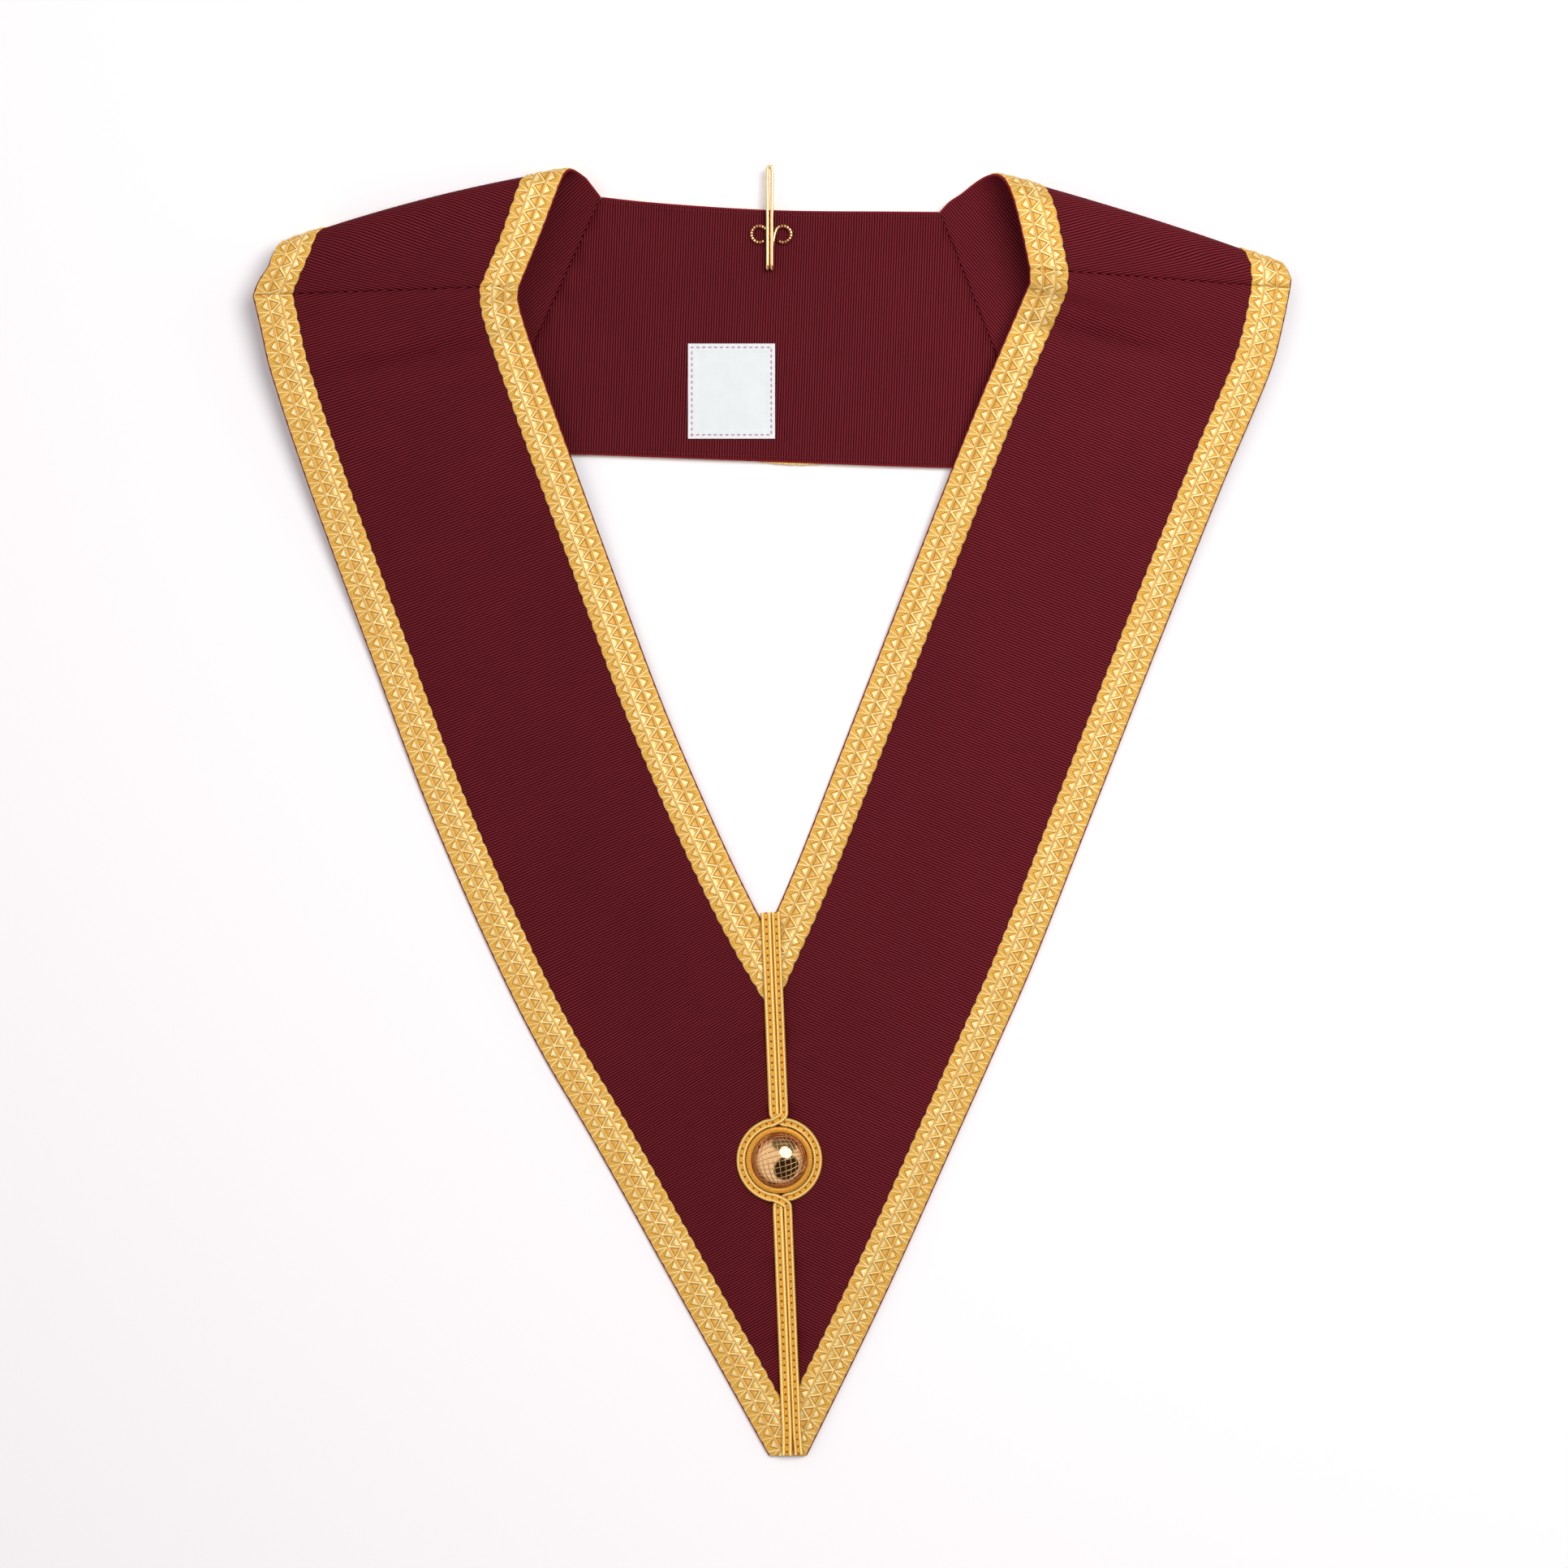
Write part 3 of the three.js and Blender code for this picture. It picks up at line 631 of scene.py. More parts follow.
def ribbon_silk():
    """Bars and grooves across the ribbon, uneven along each thread. The grooves are darker, partly in the
    cloth's own colour and partly by painted shade, and the ribbon is painted lighter towards the light, on
    the right. The edge is painted a brighter red, a painted highlight where light catches it."""
    paint = material(
        "dark_red_ribbon",
        Roughness=0.65,
        Specular_IOR_Level=0.05,
        Sheen_Weight=0.02,
        Sheen_Tint=(0.9, 0.25, 0.35, 1),
        Sheen_Roughness=0.4,
    )
    across, along = paint.flat()
    # Painted shade: the grooves between the bars are darkened, on top of the cloth's own darker red there.
    groove_shade = along.wave(RIB_PITCH).below(0.35, -0.75)
    streaks = paint.grain(across * 0.12, along * 0.95, 3.0)
    slubs = paint.grain(across * 0.9, along * 2.2, 2.0)
    clouds = paint.grain(across, along, 2.0, 0.03)
    darker, lighter = ([*(factor * c for c in RIB_BAR[:3]), 1] for factor in (0.68, 1.32))
    # Painted light: the ribbon is made lighter on the right of the collar, towards the light.
    painted_light_right = paint.split(paint.place(), 0).smooth(-0.04, 0.12) * 0.3
    bar = paint.mix(darker, lighter, streaks * 0.6 + slubs * 0.25 + clouds * 0.35 + painted_light_right - 0.15)
    colour = paint.mix(bar, RIB_GROOVE_AND_SHADE, groove_shade)
    # Painted highlight: both edges of the ribbon are painted a brighter red, as where light catches the
    # cloth's edge.
    rim = abs(across - RIBBON_WIDTH / 2).smooth(RIBBON_WIDTH / 2 - 0.75, RIBBON_WIDTH / 2 - 0.45)
    paint.feed("Base Color", paint.mix(colour, (0.235, 0.012, 0.016, 1), rim * 0.75))
    paint.bump(across.wave(0.21) * 0.3 + slubs, 0.35, 0.00004)
    return paint.owner


def flat_area(piece):
    """The area and the length of the flat cloth that a closed wall was made of, in metres."""
    flat = np.empty(len(piece.data.loops) * 2)
    piece.data.uv_layers["flat"].data.foreach_get("uv", flat)
    flat = flat.reshape(-1, 2) * MM
    both_faces = 0.0
    for face in piece.data.polygons:
        x, y = flat[list(face.loop_indices)].T
        both_faces += abs(np.dot(x, np.roll(y, -1)) - np.dot(y, np.roll(x, -1))) / 2
    return both_faces / 2, np.ptp(flat[:, 1])


ribbon_material = ribbon_silk()
EDGE_COLUMNS = [0, 0.003, 0.01]
EDGE_SHARES = [0.35, 0.8, 1]
FOLD_COLUMNS = 38
FLAT_COLUMNS = 8
cloth_pieces = {}
for name, strap in straps.items():
    inner = FOLD_COLUMNS if name.startswith("shoulder") else FLAT_COLUMNS
    v = np.array([*EDGE_COLUMNS, *np.linspace(0.03, 0.97, inner), *(1 - np.array(EDGE_COLUMNS[::-1]))])
    share = np.array([*EDGE_SHARES, *[1] * inner, *EDGE_SHARES[::-1]])
    rows, u = strap.row_places([strap.along(column) for column in v], RIB_PITCH / 4, 4)
    rows, u = uncut_rows(name, rows, u, v, 0.5)
    relief = RIB_HEIGHTS[np.arange(rows.size) % 4][:, None]
    half = (CLOTH_WALL / 2 - RIB_HEIGHTS.max() + relief) * share
    vertices = np.concatenate([strap.offset(u, v, half), strap.offset(u, v, -half)]).reshape(-1, 3)
    flat = grid_points(v * RIBBON_WIDTH, rows[:, None])
    node = "back_panel" if name == "back" else name
    cloth_pieces[name] = new_piece(
        f"cloth_{node}",
        "dark_red_ribbon",
        [node],
        ribbon_material,
        tucked(vertices, name, *CLOTH_TUCK),
        wall_faces(*u.shape),
        np.vstack([flat, flat]),
        strap_cuts(name),
        75,
    )

# Lace
# Woven gold lace, 15 mm wide, sewn flat on the outside of the ribbon along both edges. Two cords part it in
# three bands, with a zigzag in the middle one, and leaves and stalks towards its scalloped edges.
LACE_WIDTH = 15.0
LACE_INSET = 0.4
LACE_LOW = 0.58
LACE_BODY = 0.42
REPEAT = 5.4
STEPS = 12
BAND = 4.45
CORD = 1.0
CENTRE = LACE_WIDTH - 2 * BAND - 2 * CORD
LACE_COLUMNS = np.concatenate([
    np.linspace(0, BAND, 8)[:-1],
    BAND + np.linspace(0, CORD, 5)[:-1],
    BAND + CORD + np.linspace(0, CENTRE, 7)[:-1],
    LACE_WIDTH - BAND - CORD + np.linspace(0, CORD, 5)[:-1],
    LACE_WIDTH - BAND + np.linspace(0, BAND, 8),
])
ZIGZAG_SLOPE = REPEAT / 2 / math.hypot(REPEAT / 2, CENTRE)
LEAF_SIDE = 1.9
LEAF_LENGTH = 2.15
STALK = 0.14
STALK_SPREAD = 0.26
NOTCH = 0.5
TILT = 0.025


def lace_relief(x, p):
    """Heights over the body of the lace, x across it from the ribbon's edge and p in repeats."""
    from_leaf = np.abs(p % 1 - 0.5) * REPEAT
    from_stalk = REPEAT / 2 - from_leaf
    between = np.clip((x - BAND - CORD) / CENTRE, 0, 1)
    off = (between - from_stalk / (REPEAT / 2)) * CENTRE * ZIGZAG_SLOPE
    facets = 0.06 + 0.24 * np.exp(-((off / 0.3) ** 2)) + 0.16 * between
    from_cord = np.minimum(np.abs(x - BAND - CORD / 2), np.abs(x - LACE_WIDTH + BAND + CORD / 2))
    cords = 0.5 - 0.4 * (2 * from_cord / CORD) ** 4
    out = np.maximum(np.where(x < LACE_WIDTH / 2, BAND - x, x - LACE_WIDTH + BAND), 0)
    leaf = np.clip(1 - from_leaf / LEAF_SIDE - out / LEAF_LENGTH, 0, 1)
    stalk = np.exp(-(((from_stalk - STALK - STALK_SPREAD * out) / 0.3) ** 2))
    bands = 0.1 + 0.3 * np.minimum(leaf * 2, 1) + 0.2 * stalk
    height = np.where(np.abs(x - LACE_WIDTH / 2) <= CENTRE / 2, facets, bands)
    height = np.where(from_cord < CORD / 2 - 1e-6, cords, height)
    return np.where((x < 0.01) | (x > LACE_WIDTH - 0.01), -0.25, height)


def gold_thread():
    """Pale threads and leaves on an orange gold ground: the zigzag with its lit facets, the cords' borders,
    and stalks that part towards the edges."""
    paint = thread_paint("gold_lace")
    x, p = paint.flat()
    from_leaf = abs(p.part() - 0.5) * REPEAT
    from_stalk = REPEAT / 2 - from_leaf
    between = (x - (BAND + CORD)) / CENTRE
    off = (between - from_stalk / (REPEAT / 2)) * (CENTRE * ZIGZAG_SLOPE)
    in_centre = abs(x - LACE_WIDTH / 2).below(CENTRE / 2 + 0.05, CENTRE / 2 - 0.05)
    zigzag = abs(off).below(0.34, 0.12) * in_centre
    lit_up = off.smooth(0.55, 1.05) * between.smooth(0.5, 0.9)
    lit_down = off.below(-0.6, -1.1) * between.smooth(0.2, 0.5) * 0.35
    dim = abs(off + 0.52).below(0.32, 0.08).most(abs(off - 0.48).below(0.2, 0.04) * 0.6)
    dim = dim.most(between.below(0.22, 0.04) * off.below(0.0, -0.3))
    from_cord = abs(abs(x - LACE_WIDTH / 2) - (CENTRE + CORD) / 2)
    border = abs(from_cord - 0.42).below(0.2, 0.07)
    in_cord = from_cord.below(0.3, 0.12)
    beside_cord = abs(from_cord - 0.78).below(0.24, 0.06)
    out = (abs(x - LACE_WIDTH / 2) - (CENTRE / 2 + CORD)).most(0.0)
    in_band = out.smooth(0.02, 0.15)
    leaf = 1.0 - from_leaf / LEAF_SIDE - out / LEAF_LENGTH
    white_leaf = leaf.smooth(-0.02, 0.16) * out.smooth(0.05, 0.3) * in_band
    leaf_rim = abs(leaf + 0.2).below(0.2, 0.05) * in_band
    from_line = from_stalk - STALK - out * STALK_SPREAD
    stalk = abs(from_line).below(0.34, 0.1) * in_band
    beside_stalk = abs(from_line - 0.42).below(0.2, 0.02) * in_band * out.below(3.4, 2.2)
    weave = p.wave(1 / 9) * x.wave(0.7)
    selvedge = abs(out - (BAND - 0.3)).below(0.28, 0.05)
    specks = paint.grain(x * 1.6, p * REPEAT * 1.6, 3.0)
    gloss = paint.grain(x * 0.12, p * REPEAT * 0.12, 2.0) * 1.8 - 0.1
    pale = zigzag.most(lit_up * in_centre).most(lit_down * in_centre).most(border * 0.6)
    pale = pale.most(white_leaf).most(stalk * 0.75).most(selvedge * 0.35)
    dark = (dim * in_centre).most(beside_cord * 0.6).most(leaf_rim * 0.9).most(beside_stalk * 0.8)
    light = (pale * gloss.held(0.55) + (specks - 0.5) * 0.5).held()
    shade = (dark * 0.85 + (0.5 - specks) * 0.5 - weave * 0.1 * in_band).held()
    ground, deep, bright = (0.690, 0.385, 0.050), (0.420, 0.150, 0.008), (0.930, 0.850, 0.460)
    colour = shaded_gold(paint, ground, deep, bright, shade, light)
    paint.feed("Base Color", paint.mix(colour, (0.720, 0.330, 0.020, 1), in_cord * 0.75))
    paint.feed("Roughness", 0.5 - light * 0.14)
    threads = x.wave(0.36) * in_centre * (1.0 - zigzag)
    twist = (p * 9.0 + x * 0.9).wave() * from_cord.below(0.6, 0.48)
    height = threads * 0.15 + twist * 0.3 + zigzag * 0.6 + specks * 0.5 + weave * 0.4 * in_band - dark * 0.5
    paint.bump(height, 0.5, 0.00014)
    return paint.owner


def ribbon_share(edge, offset):
    """The share of the ribbon's width at an offset in from its outer edge, 0, or its neck edge, 1."""
    return 1 - offset / RIBBON_WIDTH if edge else offset / RIBBON_WIDTH


lace_material = gold_thread()
rng = np.random.default_rng(4)
under = np.arange(0, LACE_COLUMNS.size, 4)
inwards = np.clip((LACE_COLUMNS - LACE_WIDTH + BAND) / BAND, 0, 1) ** 2
outwards = np.clip((BAND - LACE_COLUMNS) / BAND, 0, 1) ** 2
for name, strap in straps.items():
    for edge, lace_name in ((0, "outer"), (1, "neck")):
        v = ribbon_share(edge, LACE_INSET + LACE_COLUMNS)
        columns = [strap.along(share, home=edge) for share in v]
        rows, u = uncut_rows(name, *strap.row_places(columns, REPEAT / STEPS, STEPS), v, 1.0)
        p = rows[:, None] / REPEAT
        x = np.broadcast_to(LACE_COLUMNS, u.shape)
        notch = NOTCH * (1 - np.abs(np.sin(np.pi * p)))
        offsets = LACE_INSET + x - notch * inwards + 0.4 * notch * outwards
        if name == "back":
            middle = strap.at(u, edge)[..., 0]
            peek = 0.25 * np.cos(middle / 9) + 0.1 if edge else 1.3 * np.exp(-(((middle - 8) / 15) ** 2))
            offsets = offsets - peek * outwards
        v = ribbon_share(edge, offsets)
        tilt = np.repeat(rng.normal(0, TILT, (rows.size // 3 + 2, 6)), 3, axis=0)[: rows.size]
        relief = lace_relief(x, p) + np.repeat(tilt, 6, axis=1)[:, : x.shape[1]]
        top = strap.offset(u, v, LACE_LOW + LACE_BODY + np.clip(relief, -0.3, 0.85))
        low = strap.offset(u[:, under], v[:, under], LACE_LOW)
        index = np.arange(u.size).reshape(u.shape)
        base = np.arange(rows.size * under.size).reshape(rows.size, under.size) + u.size
        first = np.stack([index[:-1, 0], base[:-1, 0], base[1:, 0], index[1:, 0]], axis=-1)
        last = np.stack([index[1:, -1], base[1:, -1], base[:-1, -1], index[:-1, -1]], axis=-1)
        faces = grid_quads(index) + grid_quads(base.T) + first.tolist() + last.tolist()
        faces.append([*index[0].tolist(), *base[0, ::-1].tolist()])
        faces.append([*index[-1, ::-1].tolist(), *base[-1].tolist()])
        node = f"lace_{lace_name}_{name}"
        new_piece(
            f"gold_{node}",
            "gold_lace",
            [node],
            lace_material,
            tucked(np.vstack([top.reshape(-1, 3), low.reshape(-1, 3)]), name, *LACE_TUCK),
            faces,
            np.vstack([grid_points(x, p), grid_points(x[:, under], p)]),
            strap_cuts(name),
            75,
        )

# Each length of ribbon is a sheet that was cut flat, with its laces sewn on.
for name, piece in cloth_pieces.items():
    area, cut_length = flat_area(piece)

# Braid
# Two flat gold braids, each of two ridges with a sewn furrow between them, lie side by side down the centre
# seam. They part and cross into a ring round the button, and end at the point.
BRAID_WIDTH = 7.8
BRAID_RAMP = 4.0
RING_HALF = 1.85
RING_MIDDLE = 15.2
BRAIDS = {1: (2.55, 1.75), -1: (-1.35, 2.1)}
PARTING = RING_MIDDLE + 2.6
PINCH_AT = 0.6
PINCH = 0.86
PINCH_RUN = 2.2
FLARE = 0.35
FLARE_RUN = 3.0
CROSSING_LIFT = 1.15
CROSSING_REACH = 3.2
CROSSING_AT = 0.4
RIDGE_AT = 0.64
THREAD_LEAN = 1.2
FOOT = 0.92
EDGE_HEIGHT = 0.45
END_RUN = 1.2
THROAT_SHARE = 0.7
ON_CLOTH = CLOTH_WALL + CLEARANCE
ON_LACE = CLOTH_WALL + CLEARANCE + LACE_ROOM + CLEARANCE
STITCH_STEP = 2.85
BRAID_STEP = 0.33


def smooth_path(points, step):
    """Points a step apart on a centripetal curve through the given ones, and how far along they lie."""
    route = Strap([(point, point + 1.0, np.zeros(3)) for point in points], 1)
    u = np.linspace(0, route.last, 40 * route.last + 1)
    line = route.curve(0, u)
    run = run_along(line)
    places = np.linspace(0, run[-1], int(round(run[-1] / step)) + 1)
    return route.curve(0, np.interp(places, run, u)), places


def sweep(line, places, sections, marks, upright):
    """Vertices, faces and flat places of a closed bar along a line. sections holds, for each point of the
    line, the outline of the bar there, across and up, and marks the places across that its paint goes by.
    An upright bar keeps its top up."""
    tangent = unit(np.gradient(line, axis=0))
    side = np.cross(tangent, [0, 0, 1])
    if not upright:
        for index in range(1, len(line)):
            side[index] = side[index - 1] - tangent[index] * (side[index - 1] @ tangent[index])
    side = unit(side)
    rise = np.cross(side, tangent)
    vertices = line[:, None] + side[:, None] * sections[..., :1] + rise[:, None] * sections[..., 1:]
    index = np.arange(sections[..., 0].size).reshape(sections.shape[:2])
    faces = grid_quads(np.hstack([index, index[:, :1]]))
    faces += [index[0].tolist(), index[-1, ::-1].tolist()]
    return vertices.reshape(-1, 3), faces, grid_points(marks, places[:, None])


def join_meshes(parts):
    """One set of vertices, faces and flat places from several."""
    faces, start = [], 0
    for vertices, its_faces, _ in parts:
        faces += [[corner + start for corner in face] for face in its_faces]
        start += len(vertices)
    return np.vstack([part[0] for part in parts]), faces, np.vstack([part[2] for part in parts])


def seam_point(distance, aside, level):
    return np.array([*(SEAM_TOP + SEAM_ALONG * distance + SEAM_ACROSS * aside), level])


def seam_distances(edge, offset):
    """How far down the centre seam the lines at an offset from the straps' edges meet it."""
    found = []
    for side, direction in SIDES.items():
        strap = straps[f"front_{side}"]
        span = np.linalg.norm(strap.curve(1, strap.u) - strap.curve(0, strap.u), axis=1)
        line = strap.at(strap.u, 1 - offset / span if edge else offset / span)[:, :2] - SEAM_TOP
        aside = line @ SEAM_ACROSS * direction
        found.append(float(np.interp(0, aside, line @ SEAM_ALONG)))
    return found


braid_start = min(seam_distances(1, 0)) - THROAT_SHARE * BRAID_WIDTH
laces_end = max(seam_distances(1, LACE_INSET + LACE_WIDTH)) + CLEARANCE
laces_begin = min(seam_distances(0, LACE_INSET + LACE_WIDTH)) - CLEARANCE - BRAID_WIDTH


def braid_level(distance):
    stops = [laces_end, laces_end + BRAID_RAMP, laces_begin - BRAID_RAMP, laces_begin]
    return float(np.interp(distance, stops, [ON_LACE, ON_CLOTH, ON_CLOTH, ON_LACE]))


def strand_outline(t):
    """The height of the top of a braid, t from -1 to 1 across it."""
    ridges = 0.5 * np.exp(-(((np.abs(t) - RIDGE_AT) / 0.17) ** 2))
    return 0.34 + 0.66 * (1 - np.abs(t) ** 8) + ridges - 0.22 * np.exp(-((t / 0.14) ** 2))


def strand(side, over):
    """A braid down one side of the seam, round the other side of the button and on down on its own side."""
    aside, half_straight = BRAIDS[side]
    upper, lower = BUTTON_DISTANCE - PARTING, BUTTON_DISTANCE + PARTING
    pinched = PINCH_AT + (aside - PINCH_AT) * PINCH
    points = []
    for distance in [*np.arange(braid_start, upper - 6, 9.0), upper - PINCH_RUN]:
        points.append(seam_point(distance, aside, braid_level(distance)))
    points.append(seam_point(upper, pinched, ON_CLOTH))
    for turn in np.radians([8, *np.linspace(18, 162, 13), 172]):
        distance = BUTTON_DISTANCE - RING_MIDDLE * math.cos(turn)
        points.append(seam_point(distance, -side * RING_MIDDLE * math.sin(turn), ON_CLOTH))
    points.append(seam_point(lower, pinched, ON_CLOTH))
    for distance in [lower + PINCH_RUN, *np.arange(SEAM_LENGTH - 0.4, lower + 6, -9.0)[::-1]]:
        flare = FLARE * math.exp(-(((SEAM_LENGTH - distance) / FLARE_RUN) ** 2))
        points.append(seam_point(distance, aside + side * flare, braid_level(distance)))
    line, places = smooth_path(points, BRAID_STEP)
    down = (line[:, :2] - SEAM_TOP) @ SEAM_ALONG
    sideways = (line[:, :2] - SEAM_TOP) @ SEAM_ACROSS
    for crossing in (BUTTON_DISTANCE - RING_MIDDLE - 1.0, BUTTON_DISTANCE + RING_MIDDLE + 1.0):
        near = np.hypot(down - crossing, sideways - CROSSING_AT)
        line[:, 2] += over * CROSSING_LIFT * np.exp(-((near / CROSSING_REACH) ** 4))
    ringness = np.clip((PARTING - np.abs(down - BUTTON_DISTANCE)) / 3, 0, 1)[:, None]
    half = half_straight * (1 - ringness) + RING_HALF * ringness
    marks = np.array([-1, -0.96, -0.84, -0.74, -RIDGE_AT, -0.54, -0.42, -0.2, 0])
    marks = np.concatenate([marks, -marks[:-1][::-1]])
    height = np.broadcast_to(strand_outline(marks), (places.size, marks.size)).copy()
    threads = np.cos(2 * np.pi * (places[:, None] - np.abs(np.abs(marks) - RIDGE_AT) * THREAD_LEAN))
    height += 0.05 * threads * (np.abs(marks) < 0.98)
    dots = np.cos(2 * np.pi * places / STITCH_STEP)[:, None]
    height -= 0.35 * np.clip(dots - 0.5, 0, 1) * np.exp(-((marks / 0.16) ** 2))
    height[:, [0, -1]] = EDGE_HEIGHT
    ends = np.clip(np.minimum(places, places[-1] - places) / END_RUN, 0, 1)[:, None]
    height *= 0.25 + 0.75 * np.sqrt(1 - (1 - ends) ** 2)
    top = np.stack([marks * half, height], axis=-1)
    foot = np.zeros((places.size, 2, 2))
    foot[..., 0] = half * np.array([FOOT, -FOOT])
    return sweep(line, places, np.concatenate([top, foot], axis=1), np.append(marks, [FOOT, -FOOT]), True)


def gold_braid():
    """Ridges with furrows between them, which are sewn down with brown stitches, on an orange gold ground.
    Each ridge has a painted highlight, with painted shade beside it, in the furrows and at the edges.
    """
    paint = thread_paint("gold_braid")
    across, along = paint.flat()
    lobe = abs(abs(across) - RIDGE_AT)
    lit_crest = lobe.below(0.26, 0.08)
    beside = abs(lobe - 0.32).below(0.13, 0.02)
    edge = abs(across).smooth(0.88, 1.0)
    furrow = abs(across).below(0.3, 0.08)
    dots = along.wave(STITCH_STEP).smooth(0.45, 0.9) * abs(across).below(0.26, 0.1)
    thread = (along - lobe * THREAD_LEAN).wave()
    fine = (along * 2.6 + across * 2.2).wave()
    specks = paint.grain(across * 3.0, along * 1.4, 3.0)
    # Painted highlight along the ridges; painted shade beside them, in the furrows and at the edges.
    light = (lit_crest * 0.95 + (specks - 0.5) * 0.5 + thread * 0.08 * lit_crest).held()
    shade = (beside * 0.6 + furrow * 0.3 + edge * 0.35 + (0.5 - specks) * 0.6).held()
    ground, deep, bright = (0.820, 0.420, 0.046), (0.520, 0.200, 0.012), (1.0, 0.880, 0.360)
    colour = shaded_gold(paint, ground, deep, bright, shade, light)
    paint.feed("Base Color", paint.mix(colour, (0.16, 0.030, 0.005, 1), dots))
    paint.feed("Roughness", 0.5 - lit_crest * 0.12)
    paint.bump(thread * 0.5 + fine * 0.25 + specks * 0.4, 0.45, 0.0001)
    return paint.owner


braid_nodes = ["braid_upper", "braid_ring", "braid_lower"]
braids = join_meshes([strand(1, True), strand(-1, False)])
new_piece("gold_braid", "gold_braid", braid_nodes, gold_braid(), *braids)

# Button base
# A padded ring covered in fine gold thread, wound from the inside out, with a floor that the button sits on.
BUTTON_RADIUS = 10.75
BUTTON_RISE = 7.0
BASE_HOLLOW = BUTTON_RADIUS + CLEARANCE / 2
BASE_RADIUS = RING_MIDDLE - RING_HALF - CLEARANCE / 3
BASE_EDGE = 0.3
WINDING_FOOT = 0.9
WINDING_RISE = 0.9
WINDING_DEPTH = 0.05
BASE_SEGMENTS = 240


def turned_mesh(profile, segments, middle, wind=0.0):
    """A closed shape turned about an upright line, from the axis to the axis. wind is how deep the threads
    that are wound round it stand out."""
    profile = np.asarray(profile)
    turn = np.arange(segments) * 2 * math.pi / segments
    radius, height = profile[1:-1].T
    pad = wind * np.cos(turn * segments / 3)[:, None] * (radius > BASE_HOLLOW + 0.1)
    across, along = np.cos(turn)[:, None], np.sin(turn)[:, None]
    rings = grid_points(across * (radius + pad), along * (radius + pad), height + pad)
    index = np.arange(segments * radius.size).reshape(segments, radius.size)
    after = np.roll(index, -1, axis=0)
    faces = grid_quads(np.vstack([index, index[:1]]))
    low, high = index.size, index.size + 1
    faces += [[low, int(b), int(a)] for a, b in zip(index[:, 0], after[:, 0])]
    faces += [[high, int(a), int(b)] for a, b in zip(index[:, -1], after[:, -1])]
    poles = [[0, 0, profile[0, 1]], [0, 0, profile[-1, 1]]]
    flat = np.vstack([grid_points(radius, turn[:, None] / (2 * math.pi)), np.zeros((2, 2))])
    return np.vstack([rings, poles]) + middle, faces, flat


def gold_winding():
    paint = thread_paint("gold_winding")
    radius, turn = paint.flat()
    thread = turn.wave(3 / BASE_SEGMENTS)
    # Painted shade in the narrow gap at the winding's outer edge, against the braid ring.
    crack_shade = abs(radius - (BASE_RADIUS - 0.05)).below(0.2, 0.02)
    specks = paint.grain(radius * 1.5, turn * 90.0, 3.0)
    shade = (crack_shade * 0.8 - thread * 0.2 + (0.5 - specks) * 0.9).held()
    glints = ((specks - 0.5) * 2.0).held()
    ground, deep, bright = (0.660, 0.290, 0.026), (0.380, 0.120, 0.008), (0.860, 0.550, 0.140)
    paint.feed("Base Color", shaded_gold(paint, ground, deep, bright, shade, glints))
    paint.feed("Roughness", shade * 0.1 + 0.42)
    return paint.owner


profile = [(0, 0), (BASE_RADIUS - BASE_EDGE, 0), (BASE_RADIUS, BASE_EDGE)]
for turn in np.linspace(0, math.pi, 13):
    radius = BASE_HOLLOW + (BASE_RADIUS - BASE_HOLLOW) * (0.5 + 0.5 * math.cos(turn))
    profile.append((radius, WINDING_FOOT + WINDING_RISE * abs(math.sin(turn)) ** 0.5))
profile += [(BASE_HOLLOW, BASE_FLOOR), (0, BASE_FLOOR)]
base_mesh = turned_mesh(profile, BASE_SEGMENTS, [*button_plan, ON_CLOTH], WINDING_DEPTH)
new_piece("button_winding", "gold_braid", ["button_base"], gold_winding(), *base_mesh)

# Button
# A polished gold dome, stamped with a net of fine raised lines in two directions, which reflects the room.
DOME_SEGMENTS = 128
NET_SPACING = math.radians(12.5)
NET_WIRE = 0.36
NET_TILTS = (math.radians(8), math.radians(-76))


def bare_gold(name, light, dark, haze, roughness, darker_foot=None):
    """Gold metal under a haze, given as its scale and detail. roughness is the least of it and what the haze
    adds. The last argument is a colour and its strength, and how high over the dome's foot it ends and is
    full: the metal turns towards that colour lower down the dome."""
    paint = material(name, Metallic=1.0)
    place = paint.place()
    haze = paint.noise(place, *haze)
    colour = paint.mix(light, dark, haze)
    # Darker lower down the dome, towards the given colour.
    if darker_foot:
        rim_colour, strength, ends, full = darker_foot
        rim = paint.split(place, 2).below(float(dome_foot + ends * MM), float(dome_foot + full * MM))
        colour = paint.mix(colour, rim_colour, rim * strength)
    paint.feed("Base Color", colour)
    paint.feed("Roughness", haze * roughness[1] + roughness[0])
    return paint.owner


